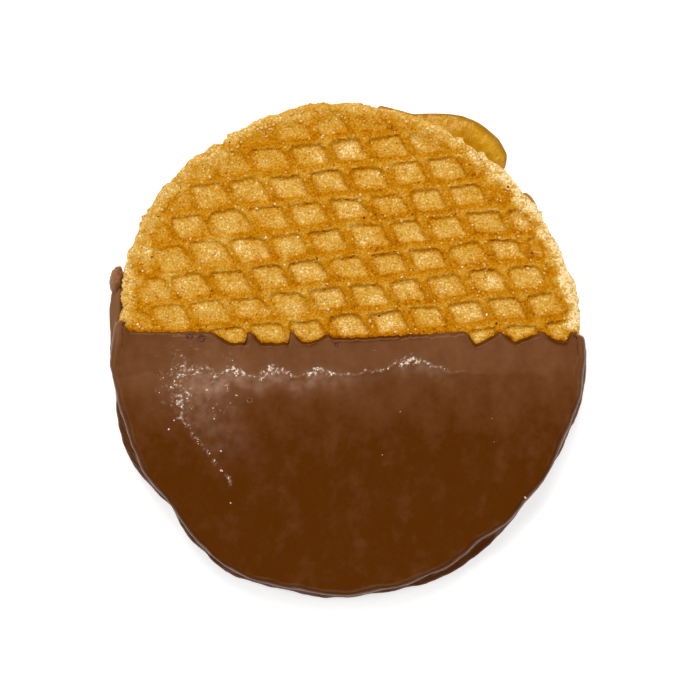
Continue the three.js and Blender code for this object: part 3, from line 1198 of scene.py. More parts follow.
    def rim_rows(self, cover: float) -> Array:
        """Rows over the rims: a rounded corner, two bulging layers with a groove, and the foot.

        Each row has a height and a share of the way from the upper layer's outline to the lower's.

        Args:
            cover: 1 for the outer skin, 0 for the inner one.

        Returns:
            Points, one row of columns for each row.
        """
        seam, top, coat = self.levels.seam, self.levels.upper_top, self.thickness
        corner = np.radians(np.linspace(0.0, 90.0, 10)[1:, None])
        foot = np.radians(np.linspace(90.0, 0.0, 8)[1:, None])
        groove = np.linspace(0.0, 1.0, 9)[:, None]
        high, low, level = seam + 1.0, seam - 1.0, np.zeros_like(self.along)
        crown = top + coat * cover - self.corner_radius() * (1.0 - np.cos(corner))
        heel = self.foot_corner * (1.0 - np.sin(foot)) + (1.0 - cover) * coat * np.cos(foot)
        heights = np.concatenate((
            crown, mix(crown[-1:], high, 0.5), mix(high, low, groove) + level,
            mix(low, self.foot_corner, 0.5) + level, self.foot_corner + level, heel + level,
        ))
        inset = np.concatenate((
            self.corner_radius() * (1.0 - np.sin(corner)), level,
            self.groove * np.sin(np.pi * groove) ** 2 + level, level, level,
            self.foot_corner * (1.0 - np.sin(foot)) + level,
        ))
        layer = smooth(high, low, heights)
        angle = mix(mix(*self.upper_ends, self.along), mix(*self.lower_ends, self.along), layer)
        outline = mix(UPPER_EDGE.radius(angle), LOWER_EDGE.radius(angle), layer)
        drip = self.left_drip * hump(self.along * self.rim_length, 7.5, 4.5)
        lower_skin = self.side_thickness(33.0) + drip
        upper_skin = self.side_thickness(0.0) + 0.6 * drip
        skin = mix(upper_skin, lower_skin, layer) * cover - self.sink * (1.0 - cover)
        x, y = polar(outline + skin - inset, angle)
        soft = self.noise.layered(x + 2.0 * heights, y - 2.0 * heights, 4.0, 3) * cover
        bulge = np.sin(np.pi * np.clip(heights / (top + coat), 0.0, 1.0))
        swell = 1.0 + 0.16 * soft * bulge / WAFER_RADIUS
        return np.stack((x * swell, y * swell, heights), axis=-1)

    def under_rows(self, rim: Array, cover: float) -> Array:
        """Rows of the flat foot, on straight lines from the rim's foot to the line below.

        Args:
            rim: the last row over the rims.
            cover: 1 for the outer skin, 0 for the inner one.

        Returns:
            Points, one row of columns for each row.
        """
        ends = np.array(self.lower_ends)
        end_x = polar(LOWER_EDGE.radius(ends) - 0.6, ends)[0]
        line_x = mix(end_x[0], end_x[1], self.along)
        line_y = self.dip.under(line_x) + self.under_noise.along(self.noise, line_x)
        length = np.hypot(line_x - rim[..., 0], line_y - rim[..., 1])
        share = 1.0 - (1.0 - np.linspace(0.0, 1.0, self.under_steps)[1:, None]) ** 1.8
        x, y = mix(rim[..., 0], line_x, share), mix(rim[..., 1], line_y, share)
        lip = self.lips((1.0 - share) * length, self.lip) * self.lips(self.end_distance(), self.end_lip)
        ceiling = self.levels.lower_base + self.sink
        z = ceiling - cover * (ceiling * lip + self.sink * (1.0 - lip))
        return np.stack((x, y, z), axis=-1)

    def skin(self, cover: float) -> Array:
        """All rows of one skin, from the line on top to the line below."""
        top, rim = self.top_rows(cover), self.rim_rows(cover)
        return np.concatenate((top, rim, self.under_rows(rim[-1:], cover)))

    def painted_sheen_and_shade(self, points: Array) -> Array:
        """How pale and grey the surface is, as painted sheen of reflected light: most towards +Y by the dip
        line and at the upper left, less under the tongues as painted shade.

        Args:
            points: points of the outer skin.

        Returns:
            Shares from 0 to 1.
        """
        marks, x, y = self.marks, points[..., 0], points[..., 1]
        # Painted sheen of reflected light: paler towards +Y, in a band above the crest, below the crest, at
        # the upper left and on the left rim strip.
        rise = marks.rise * smooth(-30.0, -2.0, y) ** 2.2
        above = y - self.crest(x)
        band = marks.band * smooth(-0.5, 0.8, above) * smooth(44.0, 34.0, x)
        band = band * (1.0 - 0.7 * smooth(-20.0, -36.0, x))
        haze = marks.below_crest * smooth(0.2, -0.6, above) * smooth(-5.5, -1.0, above)
        haze = haze * smooth(8.0, -6.0, x)
        left = marks.left * hump(x, -26.0, 12.0) * hump(y, -9.0, 9.0) + marks.patch * self.patch(x, y)
        # Painted shade: the sheen is taken away just under the tongues, darkening the coat where the tongue's
        # edge shades it.
        line = self.dip.top(x)
        seam = marks.seam * smooth(1.3, 0.1, line - y) * smooth(0.1, 0.9, self.dip.base(x) - line)
        side = marks.side * smooth(-41.5, -44.0, x) * smooth(-1.0, 6.0, y)
        soft = 0.07 * self.noise.layered(x, 0.6 * y, 4.5, 3) + 0.04 * self.noise.layered(x, y, 1.7, 2)
        return np.clip(rise + band + haze + left + side + soft - seam, 0.0, 1.0)

    def shape(self) -> Surface:
        """Joins the outer and inner skins into one closed body.

        The inner skin keeps every fourth row, so each of its steps closes against four of the
        outer skin's at both ends of the dip line. Rows by columns would face inwards here, so all
        faces are turned over at the end.

        Returns:
            The surface, with three looks: painted sheen and shade, pale specks with painted glints, and a
                grey tone.
        """
        outer, inner = self.skin(1.0), self.skin(0.0)
        stride, columns = self.inner_stride, self.columns
        spare = (len(outer) - 1) % stride
        outer, inner = (np.concatenate((s[:1], s[1 + spare:])) for s in (outer, inner))
        inner = inner[::stride]
        start = len(outer) * columns
        points = np.concatenate((outer.reshape(-1, 3), inner.reshape(-1, 3)))
        faces = [grid_faces(len(outer), columns), grid_faces(len(inner), columns, start)[:, ::-1]]
        near, far = np.arange(columns - 1), np.arange(1, columns)
        last, inner_last = (len(outer) - 1) * columns, start + (len(inner) - 1) * columns
        faces.append(np.stack((near, start + near, start + far, far), axis=-1))
        faces.append(np.stack((last + far, inner_last + far, inner_last + near, last + near), axis=-1))
        for column, flip in ((0, 1), (columns - 1, -1)):
            steps = np.arange(len(inner) - 1)
            held = start + steps * columns + column
            for part in range(stride):
                here = (steps * stride + part) * columns + column
                faces.append(np.stack((held, here, here + columns), axis=-1)[:, ::flip])
            here = (steps + 1) * stride * columns + column
            faces.append(np.stack((held, here, held + columns), axis=-1)[:, ::flip])
        faces = [f[:, ::-1] for f in faces]
        unseen = np.zeros(inner.shape[0] * columns)
        x, y, z = np.moveaxis(outer, -1, 0)
        raised = smooth(7.6, 8.0, z)
        looks = {"painted_sheen_and_shade": self.painted_sheen_and_shade(outer), "frost_and_glint": self.frost_and_glint(x, y) * raised,
                 "haze": self.haze(x, y) * raised}
        looks = {name: np.concatenate((look.ravel(), unseen)) for name, look in looks.items()}
        return Surface(points, faces, looks)

    def build(self, material: bpy.types.Material) -> bpy.types.Object:
        """Makes the coat and puts it in its node's place."""
        piece = self.shape().to_object(self.name, self.levels, material)
        return settle(piece, "chocolate", ["chocolate_coating"])


# ---- Small matter ----


def twenty_sided() -> tuple[Array, Array]:
    """Points and faces of a ball of twenty triangles, its radius 1.

    Its twelve points are the even turns of (0, 1, golden ratio) with all signs; a triangle joins
    each three that lie an edge apart.

    Returns:
        Twelve points and twenty outward faces.
    """
    golden = 0.5 * (1.0 + 5.0**0.5)
    signs = [(a, b) for a in (-1.0, 1.0) for b in (-1.0, 1.0)]
    corner = np.array([np.roll((0.0, a, b * golden), k) for k in range(3) for a, b in signs])
    apart = np.linalg.norm(corner[:, None] - corner[None, :], axis=-1)
    close = np.abs(apart - 2.0) < 0.01
    trios = [(i, j, k) for i in range(12) for j in range(i) for k in range(j)
             if close[i, j] and close[j, k] and close[i, k]]
    faces = np.array(trios)
    first, second, third = (corner[faces[:, k]] for k in range(3))
    turned = np.cross(second - first, third - first)
    inward = np.einsum("ij,ij->i", turned, corner[faces].mean(axis=1)) < 0.0
    faces[inward] = faces[inward][:, ::-1]
    return corner / np.linalg.norm(corner[0]), faces


@dataclass
class Grains:
    """Loose grains of one kind: crumbs, sugar or chocolate flecks, each a small uneven lump."""

    name: str
    slot: str
    smallest: float
    largest: float
    flatness: float = 0.7
    seed: int = 3
    unevenness: tuple[float, float] = (0.7, 1.2)
    stretching: tuple[float, float] = (0.75, 1.35)
    rarity: float = 2.2
    proud: float = 0.45

    def build(self, levels: Levels, material: bpy.types.Material,
              x: Array, y: Array, z: Array) -> bpy.types.Object:
        """Puts one lump at each place.

        Each lump is the twenty-sided ball with its points pushed in and out at random, turned
        about the vertical and made flatter; sizes are drawn so that small grains are common.

        Args:
            levels: the layers' heights.
            material: the grains' finish.
            x: first coordinates.
            y: second coordinates.
            z: heights of the surface they lie on.

        Returns:
            The piece.
        """
        draw = np.random.default_rng(self.seed)
        ball, faces = twenty_sided()
        count = len(x)
        share = draw.uniform(0.0, 1.0, count) ** self.rarity
        size = 0.5 * mix(self.smallest, self.largest, share)[:, None]
        lump = ball[None] * draw.uniform(*self.unevenness, (count, len(ball), 1))
        turn = draw.uniform(0.0, 2.0 * np.pi, count)[:, None]
        stretch = draw.uniform(*self.stretching, count)[:, None]
        along, across = lump[..., 0] * stretch, lump[..., 1] / stretch
        lump_x = size * (along * np.cos(turn) - across * np.sin(turn)) + x[:, None]
        lump_y = size * (along * np.sin(turn) + across * np.cos(turn)) + y[:, None]
        lump_z = size * self.flatness * (lump[..., 2] + self.proud) + z[:, None]
        points = np.stack((lump_x, lump_y, lump_z), axis=-1).reshape(-1, 3)
        numbers = (faces[None] + len(ball) * np.arange(count)[:, None, None]).reshape(-1, 3)
        piece = Surface(points, [numbers]).to_object(self.name, levels, material)
        return settle(piece, self.slot)


def even_looks(count: int, painted_sheen_and_shade: float, frost_and_glint: float = 0.0) -> dict[str, Array]:
    """The chocolate's looks, the same at every point of a small piece."""
    values = {"painted_sheen_and_shade": painted_sheen_and_shade, "frost_and_glint": frost_and_glint, "haze": 0.0}
    return {name: np.full(count, value) for name, value in values.items()}


@dataclass
class Rings:
    """Burst bubbles in the chocolate: each a low ring of a given radius."""

    name: str
    tube: float
    places: tuple[tuple[float, float, float], ...]
    around: int = 20
    section: int = 8
    unevenness: float = 0.25
    proud: float = 0.3

    def build(self, levels: Levels, material: bpy.types.Material, coat: Coat) -> bpy.types.Object:
        """Lays a ring, a circle carried round a circle, on the coat at each place.

        Args:
            levels: the layers' heights.
            material: the rings' finish.
            coat: the coat they lie on.

        Returns:
            The piece.
        """
        x, y, radius = np.array(self.places).T
        z = coat.surface_height(x, y)
        x, y, z, radius = (values[:, None, None] for values in (x, y, z, radius))
        turn = round_turns(self.around)[None, :, None]
        round_tube = round_turns(self.section)[None, None, :]
        tube = self.tube * (1.0 + self.unevenness * np.sin(2.0 * turn + x))
        reach = radius + tube * np.cos(round_tube)
        ring_x, ring_y = x + reach * np.cos(turn), y + reach * np.sin(turn)
        ring_z = z + self.proud * tube + tube * np.sin(round_tube) + 0.0 * ring_x
        points = np.stack((ring_x, ring_y, ring_z), axis=-1).reshape(-1, 3)
        i, j = np.meshgrid(np.arange(self.around), np.arange(self.section), indexing="ij")
        i, after_i = i * self.section, (i + 1) % self.around * self.section
        after_j = (j + 1) % self.section
        quad = np.stack((i + j, after_i + j, after_i + after_j, i + after_j), axis=-1)
        step = self.around * self.section * np.arange(len(x))[:, None, None]
        faces = (quad.reshape(-1, 4)[None] + step).reshape(-1, 4)
        # The rings carry a painted sheen and a little of the pale specks in their looks.
        surface = Surface(points, [faces], even_looks(len(points), 0.6, 0.12))
        return settle(surface.to_object(self.name, levels, material), "chocolate")


@dataclass
class Drip:
    """A knob of chocolate set on the lower round's rim, at the far end of the dip."""

    name: str = "chocolate_knob"
    centre: tuple[float, float, float] = (-44.0, 13.4, 3.0)
    half: tuple[float, float, float] = (1.3, 2.6, 2.2)
    lean: float = -9.0
    lumpy: float = 0.12
    rows: int = 28
    columns: int = 48
    seed: int = 19

    def build(self, levels: Levels, material: bpy.types.Material) -> bpy.types.Object:
        """Makes the knob: an oval ball whose radius swells with soft noise, leaning with the rim.

        Args:
            levels: the layers' heights.
            material: the finish.

        Returns:
            The piece.
        """
        noise = NoiseField(self.seed)
        fall = np.linspace(0.0, np.pi, self.rows + 2)[1:-1, None]
        turn = round_turns(self.columns)[None, :]
        unit = (np.sin(fall) * np.cos(turn), np.sin(fall) * np.sin(turn), np.cos(fall) + 0.0 * turn)
        unit = np.stack(unit, -1).reshape(-1, 3)
        unit = np.concatenate((unit, [[0.0, 0.0, 1.0], [0.0, 0.0, -1.0]]))
        x, y, z = unit.T
        lumps = 1.0 + self.lumpy * noise.layered(2.0 * x + z, 2.4 * y - z, 0.9, 3)
        x, y, z = (unit * lumps[:, None] * np.array(self.half)).T
        lean_x, lean_y = polar(1.0, self.lean)
        turned = (x * lean_x - y * lean_y, x * lean_y + y * lean_x, z)
        points = np.stack(turned, axis=-1) + np.array(self.centre)
        # The knob is painted pale all over with the sheen look: painted light that lifts it out of its own
        # shade.
        surface = Surface(points, closed_tube(self.rows, self.columns), even_looks(len(points), 0.9))
        return settle(surface.to_object(self.name, levels, material), "chocolate")


@dataclass
class SmallMatter:
    """Everything loose or burst on the surfaces: crumbs, sugar, chocolate flecks and bubbles."""

    wafer: Wafer
    coat: Coat
    levels: Levels
    rim_share: float = 0.06
    stray_share: float = 0.00015
    seed: int = 23

    def on_wafer(self, count: int, crowd_rim: float) -> tuple[Array, Array, Array]:
        """Random places on the bare wafer.

        Args:
            count: how many places to draw; those under the chocolate drop out.
            crowd_rim: share of them pulled to the rim.

        Returns:
            Places and heights.
        """
        draw = np.random.default_rng(self.seed + count)
        angle = draw.uniform(0.0, 180.0, count)
        share = np.sqrt(draw.uniform(0.0, 1.0, count))
        at_rim = draw.uniform(0.0, 1.0, count) < crowd_rim
        share = np.where(at_rim, 1.0 - self.rim_share * draw.uniform(0.0, 1.0, count), share)
        x, y = polar(share * (self.wafer.edge.radius(angle) - 0.3), angle)
        bare = y > self.coat.dip.top(x) + 0.5
        x, y = x[bare], y[bare]
        return x, y, self.wafer.face_height(x, y)

    def on_coat(self, count: int) -> tuple[Array, Array, Array]:
        """Random places on the coat, kept where the pale specks and painted glints lie.

        Args:
            count: how many places to draw before most of them drop out.

        Returns:
            Places and heights.
        """
        draw = np.random.default_rng(self.seed + count)
        x, y = draw.uniform(-36.0, 36.0, count), draw.uniform(-32.0, 0.5, count)
        kept = draw.uniform(0.0, 1.0, count) < self.coat.frost_and_glint(x, y) + self.stray_share
        return x[kept], y[kept], self.coat.surface_height(x[kept], y[kept])

    def build(self, finishes: dict[str, bpy.types.Material]) -> None:
        """Builds all small pieces.

        Args:
            finishes: the finishes by name: crumb, sugar, pale fleck (partly painted glints), dark speck (also
                painted shade for the burst rings) and chocolate.
        """
        on_wafer, on_coat = self.on_wafer, self.on_coat
        # The chocolate flecks gather where the pale specks lie; along the crest they are painted glints.
        for grains, finish, places in (
            (Grains("wafer_crumbs", "wafer", 0.2, 0.85, seed=5), "crumb", on_wafer(420, 0.5)),
            (Grains("sugar_grains", "wafer", 0.16, 0.6, seed=6), "sugar", on_wafer(105, 0.0)),
            (Grains("coat_flecks", "chocolate", 0.1, 0.55, 0.5, 7), "fleck", on_coat(45000)),
            (Grains("scorched_specks", "wafer", 0.2, 0.6, 0.25, 8), "dark_speck_and_shade", on_wafer(70, 0.1)),
        ):
            grains.build(self.levels, finishes[finish], *places)
        closed = ((-33.1, -8.5, 0.42), (-18.4, -9.4, 0.48), (-31.3, -6.5, 0.36), (-29.4, -10.6, 0.3))
        # The burst rings take the dark finish: painted shade for the dark inside of each open crater.
        burst = ((-29.8, 2.7, 0.48), (-27.5, 2.35, 0.55), (-2.0, 1.25, 0.3))
        for rings, finish in ((Rings("coat_bubbles", 0.06, closed), "chocolate"),
                              (Rings("burst_bubbles", 0.15, burst), "dark_speck_and_shade")):
            rings.build(self.levels, finishes[finish], self.coat)
        Drip().build(self.levels, finishes["chocolate"])


# ---- Finishes ----


Value = bpy.types.NodeSocket | float | tuple


def linear(red: int, green: int, blue: int) -> tuple[float, float, float, float]:
    """A colour given as it looks on screen, as the linear values a shader takes.

    Args:
        red: share of red, 0 to 255.
        green: share of green, 0 to 255.
        blue: share of blue, 0 to 255.

    Returns:
        The straight red, green and blue, and 1 for opaque.
    """
    values = np.array([red, green, blue]) / 255.0
    straight = np.where(values <= 0.04045, values / 12.92, ((values + 0.055) / 1.055) ** 2.4)
    return (*(float(v) for v in straight), 1.0)


def new_material(name: str) -> tuple[bpy.types.Material, bpy.types.ShaderNode]:
    """An empty material with its Principled shader."""
    material = bpy.data.materials.new(name)
    material.use_nodes = True
    return material, material.node_tree.nodes["Principled BSDF"]


def grain_group() -> bpy.types.NodeTree:
    """Node group for grain: fractal noise and round pores, on the piece's own coordinates.

    Returns:
        The group, with the inputs Size (mm), Pore Size (mm) and Pore Share, and the outputs Grain
        (0 to 1), Pores (1 in a pore) and Height (grain less pores).
    """
    group = bpy.data.node_groups.new("food_grain", "ShaderNodeTree")
    for name, default in (("Size", 1.0), ("Pore Size", 0.6), ("Pore Share", 0.3)):
        socket = group.interface.new_socket(name, in_out="INPUT", socket_type="NodeSocketFloat")
        socket.default_value = default
    for name in ("Grain", "Pores", "Height"):
        group.interface.new_socket(name, in_out="OUTPUT", socket_type="NodeSocketFloat")
    nodes, links = group.nodes, group.links
    given, put = nodes.new("NodeGroupInput"), nodes.new("NodeGroupOutput")
    place = nodes.new("ShaderNodeTexCoord")

    def set_up(kind: str, **values: float) -> bpy.types.ShaderNode:
        """A new node with numbers in its sockets.

        Args:
            kind: the node's type.
            values: numbers by socket name; an underscore stands for a space.

        Returns:
            The node.
        """
        node = nodes.new(kind)
        for name, value in values.items():
            node.inputs[name.replace("_", " ")].default_value = value
        return node

    def per_metre(socket: str) -> bpy.types.NodeSocket:
        """Turns a size in millimetres into a texture scale.

        Args:
            socket: the group's input that holds the size.

        Returns:
            The scale.
        """
        divide = nodes.new("ShaderNodeMath")
        divide.operation = "DIVIDE"
        divide.inputs[0].default_value = 1.0 / MM
        links.new(given.outputs[socket], divide.inputs[1])
        return divide.outputs[0]

    noise = set_up("ShaderNodeTexNoise", Detail=5.0, Roughness=0.62)
    pores = set_up("ShaderNodeTexVoronoi", Randomness=1.0)
    for texture, socket in ((noise, "Size"), (pores, "Pore Size")):
        links.new(place.outputs["Object"], texture.inputs["Vector"])
        links.new(per_metre(socket), texture.inputs["Scale"])
    hole = set_up("ShaderNodeMapRange", From_Min=0.0, To_Min=1.0, To_Max=0.0)
    hole.interpolation_type = "SMOOTHSTEP"
    height = nodes.new("ShaderNodeMath")
    height.operation = "SUBTRACT"
    for source, target in (
        (pores.outputs["Distance"], hole.inputs["Value"]),
        (given.outputs["Pore Share"], hole.inputs["From Max"]),
        (noise.outputs["Fac"], height.inputs[0]),
        (hole.outputs["Result"], height.inputs[1]),
        (noise.outputs["Fac"], put.inputs["Grain"]),
        (hole.outputs["Result"], put.inputs["Pores"]),
        (height.outputs[0], put.inputs["Height"]),
    ):
        links.new(source, target)
    return group


@dataclass
class Shading:
    """Short ways to add nodes to one new material."""

    name: str
    grain: bpy.types.NodeTree

    def __post_init__(self) -> None:
        """Makes the empty material."""
        self.material, self.shader = new_material(self.name)
        self.tree = self.material.node_tree

    def feed(self, value: Value, socket: bpy.types.NodeSocket) -> None:
        """Links another socket to this one, or sets a fixed number or colour.

        Args:
            value: what goes in.
            socket: where it goes.
        """
        if isinstance(value, bpy.types.NodeSocket):
            self.tree.links.new(value, socket)
        else:
            socket.default_value = value

    def look(self, name: str) -> bpy.types.NodeSocket:
        """The value of one of the mesh's looks."""
        node = self.tree.nodes.new("ShaderNodeAttribute")
        node.attribute_name = name
        return node.outputs["Fac"]

    def grained(self, size: float, pore_size: float, pore_share: float) -> bpy.types.bpy_prop_collection:
        """The grain group's outputs, with its own sizes.

        Args:
            size: size of the grain, in millimetres.
            pore_size: distance between pores, in millimetres.
            pore_share: how much of that distance a pore takes.

        Returns:
            The outputs Grain, Pores and Height.
        """
        node = self.tree.nodes.new("ShaderNodeGroup")
        node.node_tree = self.grain
        for socket, value in zip(node.inputs, (size, pore_size, pore_share)):
            socket.default_value = value
        return node.outputs

    def ramp(self, source: bpy.types.NodeSocket, stops: tuple) -> bpy.types.NodeSocket:
        """A colour ramp.

        Args:
            source: the value looked up in it.
            stops: (place, colour) for each stop, in order.

        Returns:
            The ramp's colour.
        """
        node = self.tree.nodes.new("ShaderNodeValToRGB")
        elements = node.color_ramp.elements
        for index, (place, colour) in enumerate(stops):
            element = elements[index] if index < 2 else elements.new(place)
            element.position = place
            element.color = colour
        self.feed(source, node.inputs["Fac"])
        return node.outputs["Color"]

    def blend(self, share: Value, first: Value, second: Value) -> bpy.types.NodeSocket:
        """A blend of two colours.

        Args:
            share: share of the second colour.
            first: the colour at share 0.
            second: the colour at share 1.

        Returns:
            The blended colour.
        """
        node = self.tree.nodes.new("ShaderNodeMix")
        node.data_type = "RGBA"
        self.feed(share, node.inputs["Factor"])
        for value, socket in zip((first, second), (s for s in node.inputs if s.type == "RGBA")):
            self.feed(value, socket)
        return next(s for s in node.outputs if s.type == "RGBA")

    def combine(self, first: Value, operation: str, second: Value) -> bpy.types.NodeSocket:
        """Arithmetic on two numbers.

        Args:
            first: the first number.
            operation: the Math node's operation.
            second: the second number.

        Returns:
            The result.
        """
        node = self.tree.nodes.new("ShaderNodeMath")
        node.operation = operation
        for value, socket in zip((first, second), node.inputs):
            self.feed(value, socket)
        return node.outputs[0]

    def scaled(self, source: Value, gain: float) -> bpy.types.NodeSocket:
        """A number times a fixed gain."""
        return self.combine(source, "MULTIPLY", gain)

    def about(self, source: Value, middle: float, gain: Value) -> bpy.types.NodeSocket:
        """How far a number lies from a middle value, times a gain."""
        return self.combine(self.combine(source, "SUBTRACT", middle), "MULTIPLY", gain)

    def limited(self, source: Value) -> bpy.types.NodeSocket:
        """A number kept between 0 and 1."""
        return self.combine(self.combine(source, "MAXIMUM", 0.0), "MINIMUM", 1.0)

    def dress(self, colour: Value, height: Value, depth: float, **settings: Value) -> bpy.types.Material:
        """Feeds the shader its colour, a bump and its other sockets.

        Args:
            colour: the base colour.
            height: what the bump follows.
            depth: the bump's full height, in millimetres.
            settings: other values; an underscore stands for a space in a socket's name.

        Returns:
            The finished material.
        """
        bump = self.tree.nodes.new("ShaderNodeBump")
        bump.inputs["Distance"].default_value = depth * MM
        self.feed(height, bump.inputs["Height"])
        self.feed(colour, self.shader.inputs["Base Color"])
        self.feed(bump.outputs["Normal"], self.shader.inputs["Normal"])
        for name, value in settings.items():
            self.feed(value, self.shader.inputs[name.replace("_", " ")])
        return self.material


@dataclass(frozen=True)
class WaferFinish:
    """Baked wafer: cream where it is pale, amber on the ridges, with fine pores and dark pits."""

    name: str = "baked_wafer"
    stops: tuple = (
        (0.0, linear(252, 224, 168)),
        (0.08, linear(238, 198, 126)),
        (0.16, linear(222, 174, 84)),
        (0.34, linear(207, 155, 60)),
        (0.5, linear(200, 134, 20)),
        (0.66, linear(188, 118, 0)),
        (0.84, linear(172, 98, 0)),
        (1.0, linear(122, 62, 2)),
    )
    pore: tuple = linear(146, 96, 18)
    pit: tuple = linear(84, 36, 10)
    glint: tuple = linear(255, 224, 146)
    sheen: tuple = (1.0, 0.75, 0.4, 1.0)
    refraction: float = 1.15
    roughness: float = 0.5
    fine: tuple = (0.4, 0.45, 0.22)
    coarse: tuple = (2.6, 2.4, 0.11)
    glints: tuple = (1.0, 1.3, 0.2)
    fine_gain: float = 1.45
    coarse_gain: float = 0.3
    middle: float = 0.875
    pore_share: float = 0.5
    glint_share: float = 0.8
    bump: float = 0.28

    def make(self, grain: bpy.types.NodeTree) -> bpy.types.Material:
        """Builds the material: browning through the ramp, varied by grain, darkened in pores.

        Args:
            grain: the grain group.

        Returns:
            The material.
        """
        shading = Shading(self.name, grain)
        fine, coarse = shading.grained(*self.fine), shading.grained(*self.coarse)
        glint = shading.grained(*self.glints)
        varied = shading.scaled(fine["Grain"], self.fine_gain)
        broad = shading.scaled(coarse["Grain"], self.coarse_gain)
        shift = shading.combine(shading.combine(varied, "ADD", broad), "SUBTRACT", self.middle)
        # The look read here is the wafer's browning with its painted light and shade.
        colour = shading.ramp(shading.combine(shading.look("browning_and_painted_light"), "ADD", shift), self.stops)
        porous = shading.blend(shading.scaled(fine["Pores"], self.pore_share), colour, self.pore)
        speckled = shading.blend(coarse["Pores"], porous, self.pit)
        bright = shading.blend(shading.scaled(glint["Pores"], self.glint_share), speckled, self.glint)
        return shading.dress(bright, fine["Height"], self.bump, Roughness=self.roughness,
                             IOR=self.refraction, Specular_Tint=self.sheen)


@dataclass(frozen=True)
class SyrupFinish:
    """Caramel syrup: amber and glossy, with painted shade darkening the rim of each drop."""

    name: str = "caramel_syrup"
    stops: tuple = ((0.36, linear(174, 114, 0)), (0.5, linear(186, 130, 4)), (0.66, linear(196, 144, 24)))
    # edge: colour of the painted shade at a drop's rim
    edge: tuple = linear(146, 98, 20)
    sheen: tuple = (1.0, 0.72, 0.3, 1.0)
    roughness: float = 0.18
    cloud: tuple = (2.6, 1.4, 0.06)
    bump: float = 0.3

    def make(self, grain: bpy.types.NodeTree) -> bpy.types.Material:
        """Builds the material: amber with soft cloudy streaks, browner towards each drop's rim as painted
        shade.

        Args:
            grain: the grain group.

        Returns:
            The material.
        """
        shading = Shading(self.name, grain)
        cloud = shading.grained(*self.cloud)["Grain"]
        # The rim of each drop is darkened as painted shade.
        body = shading.blend(shading.look("thin"), shading.ramp(cloud, self.stops), self.edge)
        return shading.dress(body, cloud, self.bump, Roughness=self.roughness, Specular_Tint=self.sheen)


@dataclass(frozen=True)
class ChocolateFinish:
    """Milk chocolate: satin brown, paler and duller under painted sheen, greyer where the grey tone lies,
    with pale specks and painted glints.
    """

    name: str = "milk_chocolate"
    deep: tuple = linear(82, 38, 0)
    # pale: the colour of the painted sheen
    pale: tuple = linear(145, 100, 68)
    haze: tuple = linear(160, 126, 104)
    # colour of the pale specks and painted glints
    frost_and_glint: tuple = linear(238, 218, 200)
    sheen: tuple = (1.0, 0.72, 0.45, 1.0)
    roughness: float = 0.28
    dullness: float = 0.2
    specular: float = 0.22
    fine: tuple = (0.7, 1.6, 0.05)
    broad: tuple = (5.0, 3.0, 0.04)
    crystals_and_glints: tuple = (0.55, 0.5, 0.3)
    fine_gain: float = 0.12
    broad_gain: float = 0.14
    crystal_from: float = 0.42
    crystal_gain: float = 9.0
    bump: float = 0.03

    def make(self, grain: bpy.types.NodeTree) -> bpy.types.Material:
        """Builds the material: deep brown blended to pale by painted sheen, then the grey tone, pale specks
        and painted glints, faint grain.

        Args:
            grain: the grain group.

        Returns:
            The material.
        """
        shading = Shading(self.name, grain)
        fine, broad = shading.grained(*self.fine), shading.grained(*self.broad)
        soft = shading.about(broad["Grain"], 0.5, self.broad_gain)
        speck = shading.about(fine["Grain"], 0.5, self.fine_gain)
        share = shading.combine(shading.combine(shading.look("painted_sheen_and_shade"), "ADD", soft), "ADD", speck)
        share = shading.limited(share)
        # Painted sheen of reflected light blends the deep brown towards pale.
        brown = shading.blend(share, self.deep, self.pale)
        greyed = shading.blend(shading.look("haze"), brown, self.haze)
        crystals_and_glints = shading.grained(*self.crystals_and_glints)["Grain"]
        sharp = shading.about(crystals_and_glints, self.crystal_from, self.crystal_gain)
        broken = shading.limited(shading.combine(sharp, "MULTIPLY", shading.look("frost_and_glint")))
        dull = shading.combine(shading.scaled(share, self.dullness), "ADD", self.roughness)
        return shading.dress(shading.blend(broken, greyed, self.frost_and_glint), fine["Height"], self.bump,
                             Roughness=dull, Specular_IOR_Level=self.specular, Specular_Tint=self.sheen)


@dataclass(frozen=True)
class GrainFinish:
    """Small grains: one colour with faint mottling, dull or glassy."""

    name: str
    light: tuple
    dark: tuple
    roughness: float
    specular: float = 0.5
    mottle: tuple = (0.6, 0.5, 0.15)
    bump: float = 0.08

    def make(self, grain: bpy.types.NodeTree) -> bpy.types.Material:
        """Builds the material: a blend of two colours by the grain.

        Args:
            grain: the grain group.

        Returns:
            The material.
        """
        shading = Shading(self.name, grain)
        mottle = shading.grained(*self.mottle)["Grain"]
        return shading.dress(shading.blend(mottle, self.light, self.dark), mottle, self.bump,
                             Roughness=self.roughness, Specular_IOR_Level=self.specular)


# ---- Stage ----


@dataclass(frozen=True)
class Lamp:
    """A square soft light that points at the part: place and side in metres, power in watts."""

    name: str
    place: tuple[float, float, float]
    side: float
    power: float

    def hang(self) -> None:
        """Makes the light, turned so that its -Z axis runs from its place to the origin."""
        data = bpy.data.lights.new(self.name, "AREA")
        data.size = self.side
        data.energy = self.power
        light = bpy.data.objects.new(self.name, data)
        light.location = self.place
        x, y, z = -np.array(self.place)
        light.rotation_euler = (float(np.arctan2(np.hypot(x, y), -z)), 0.0, float(np.arctan2(x, -y)) + np.pi)
        bpy.context.scene.collection.objects.link(light)


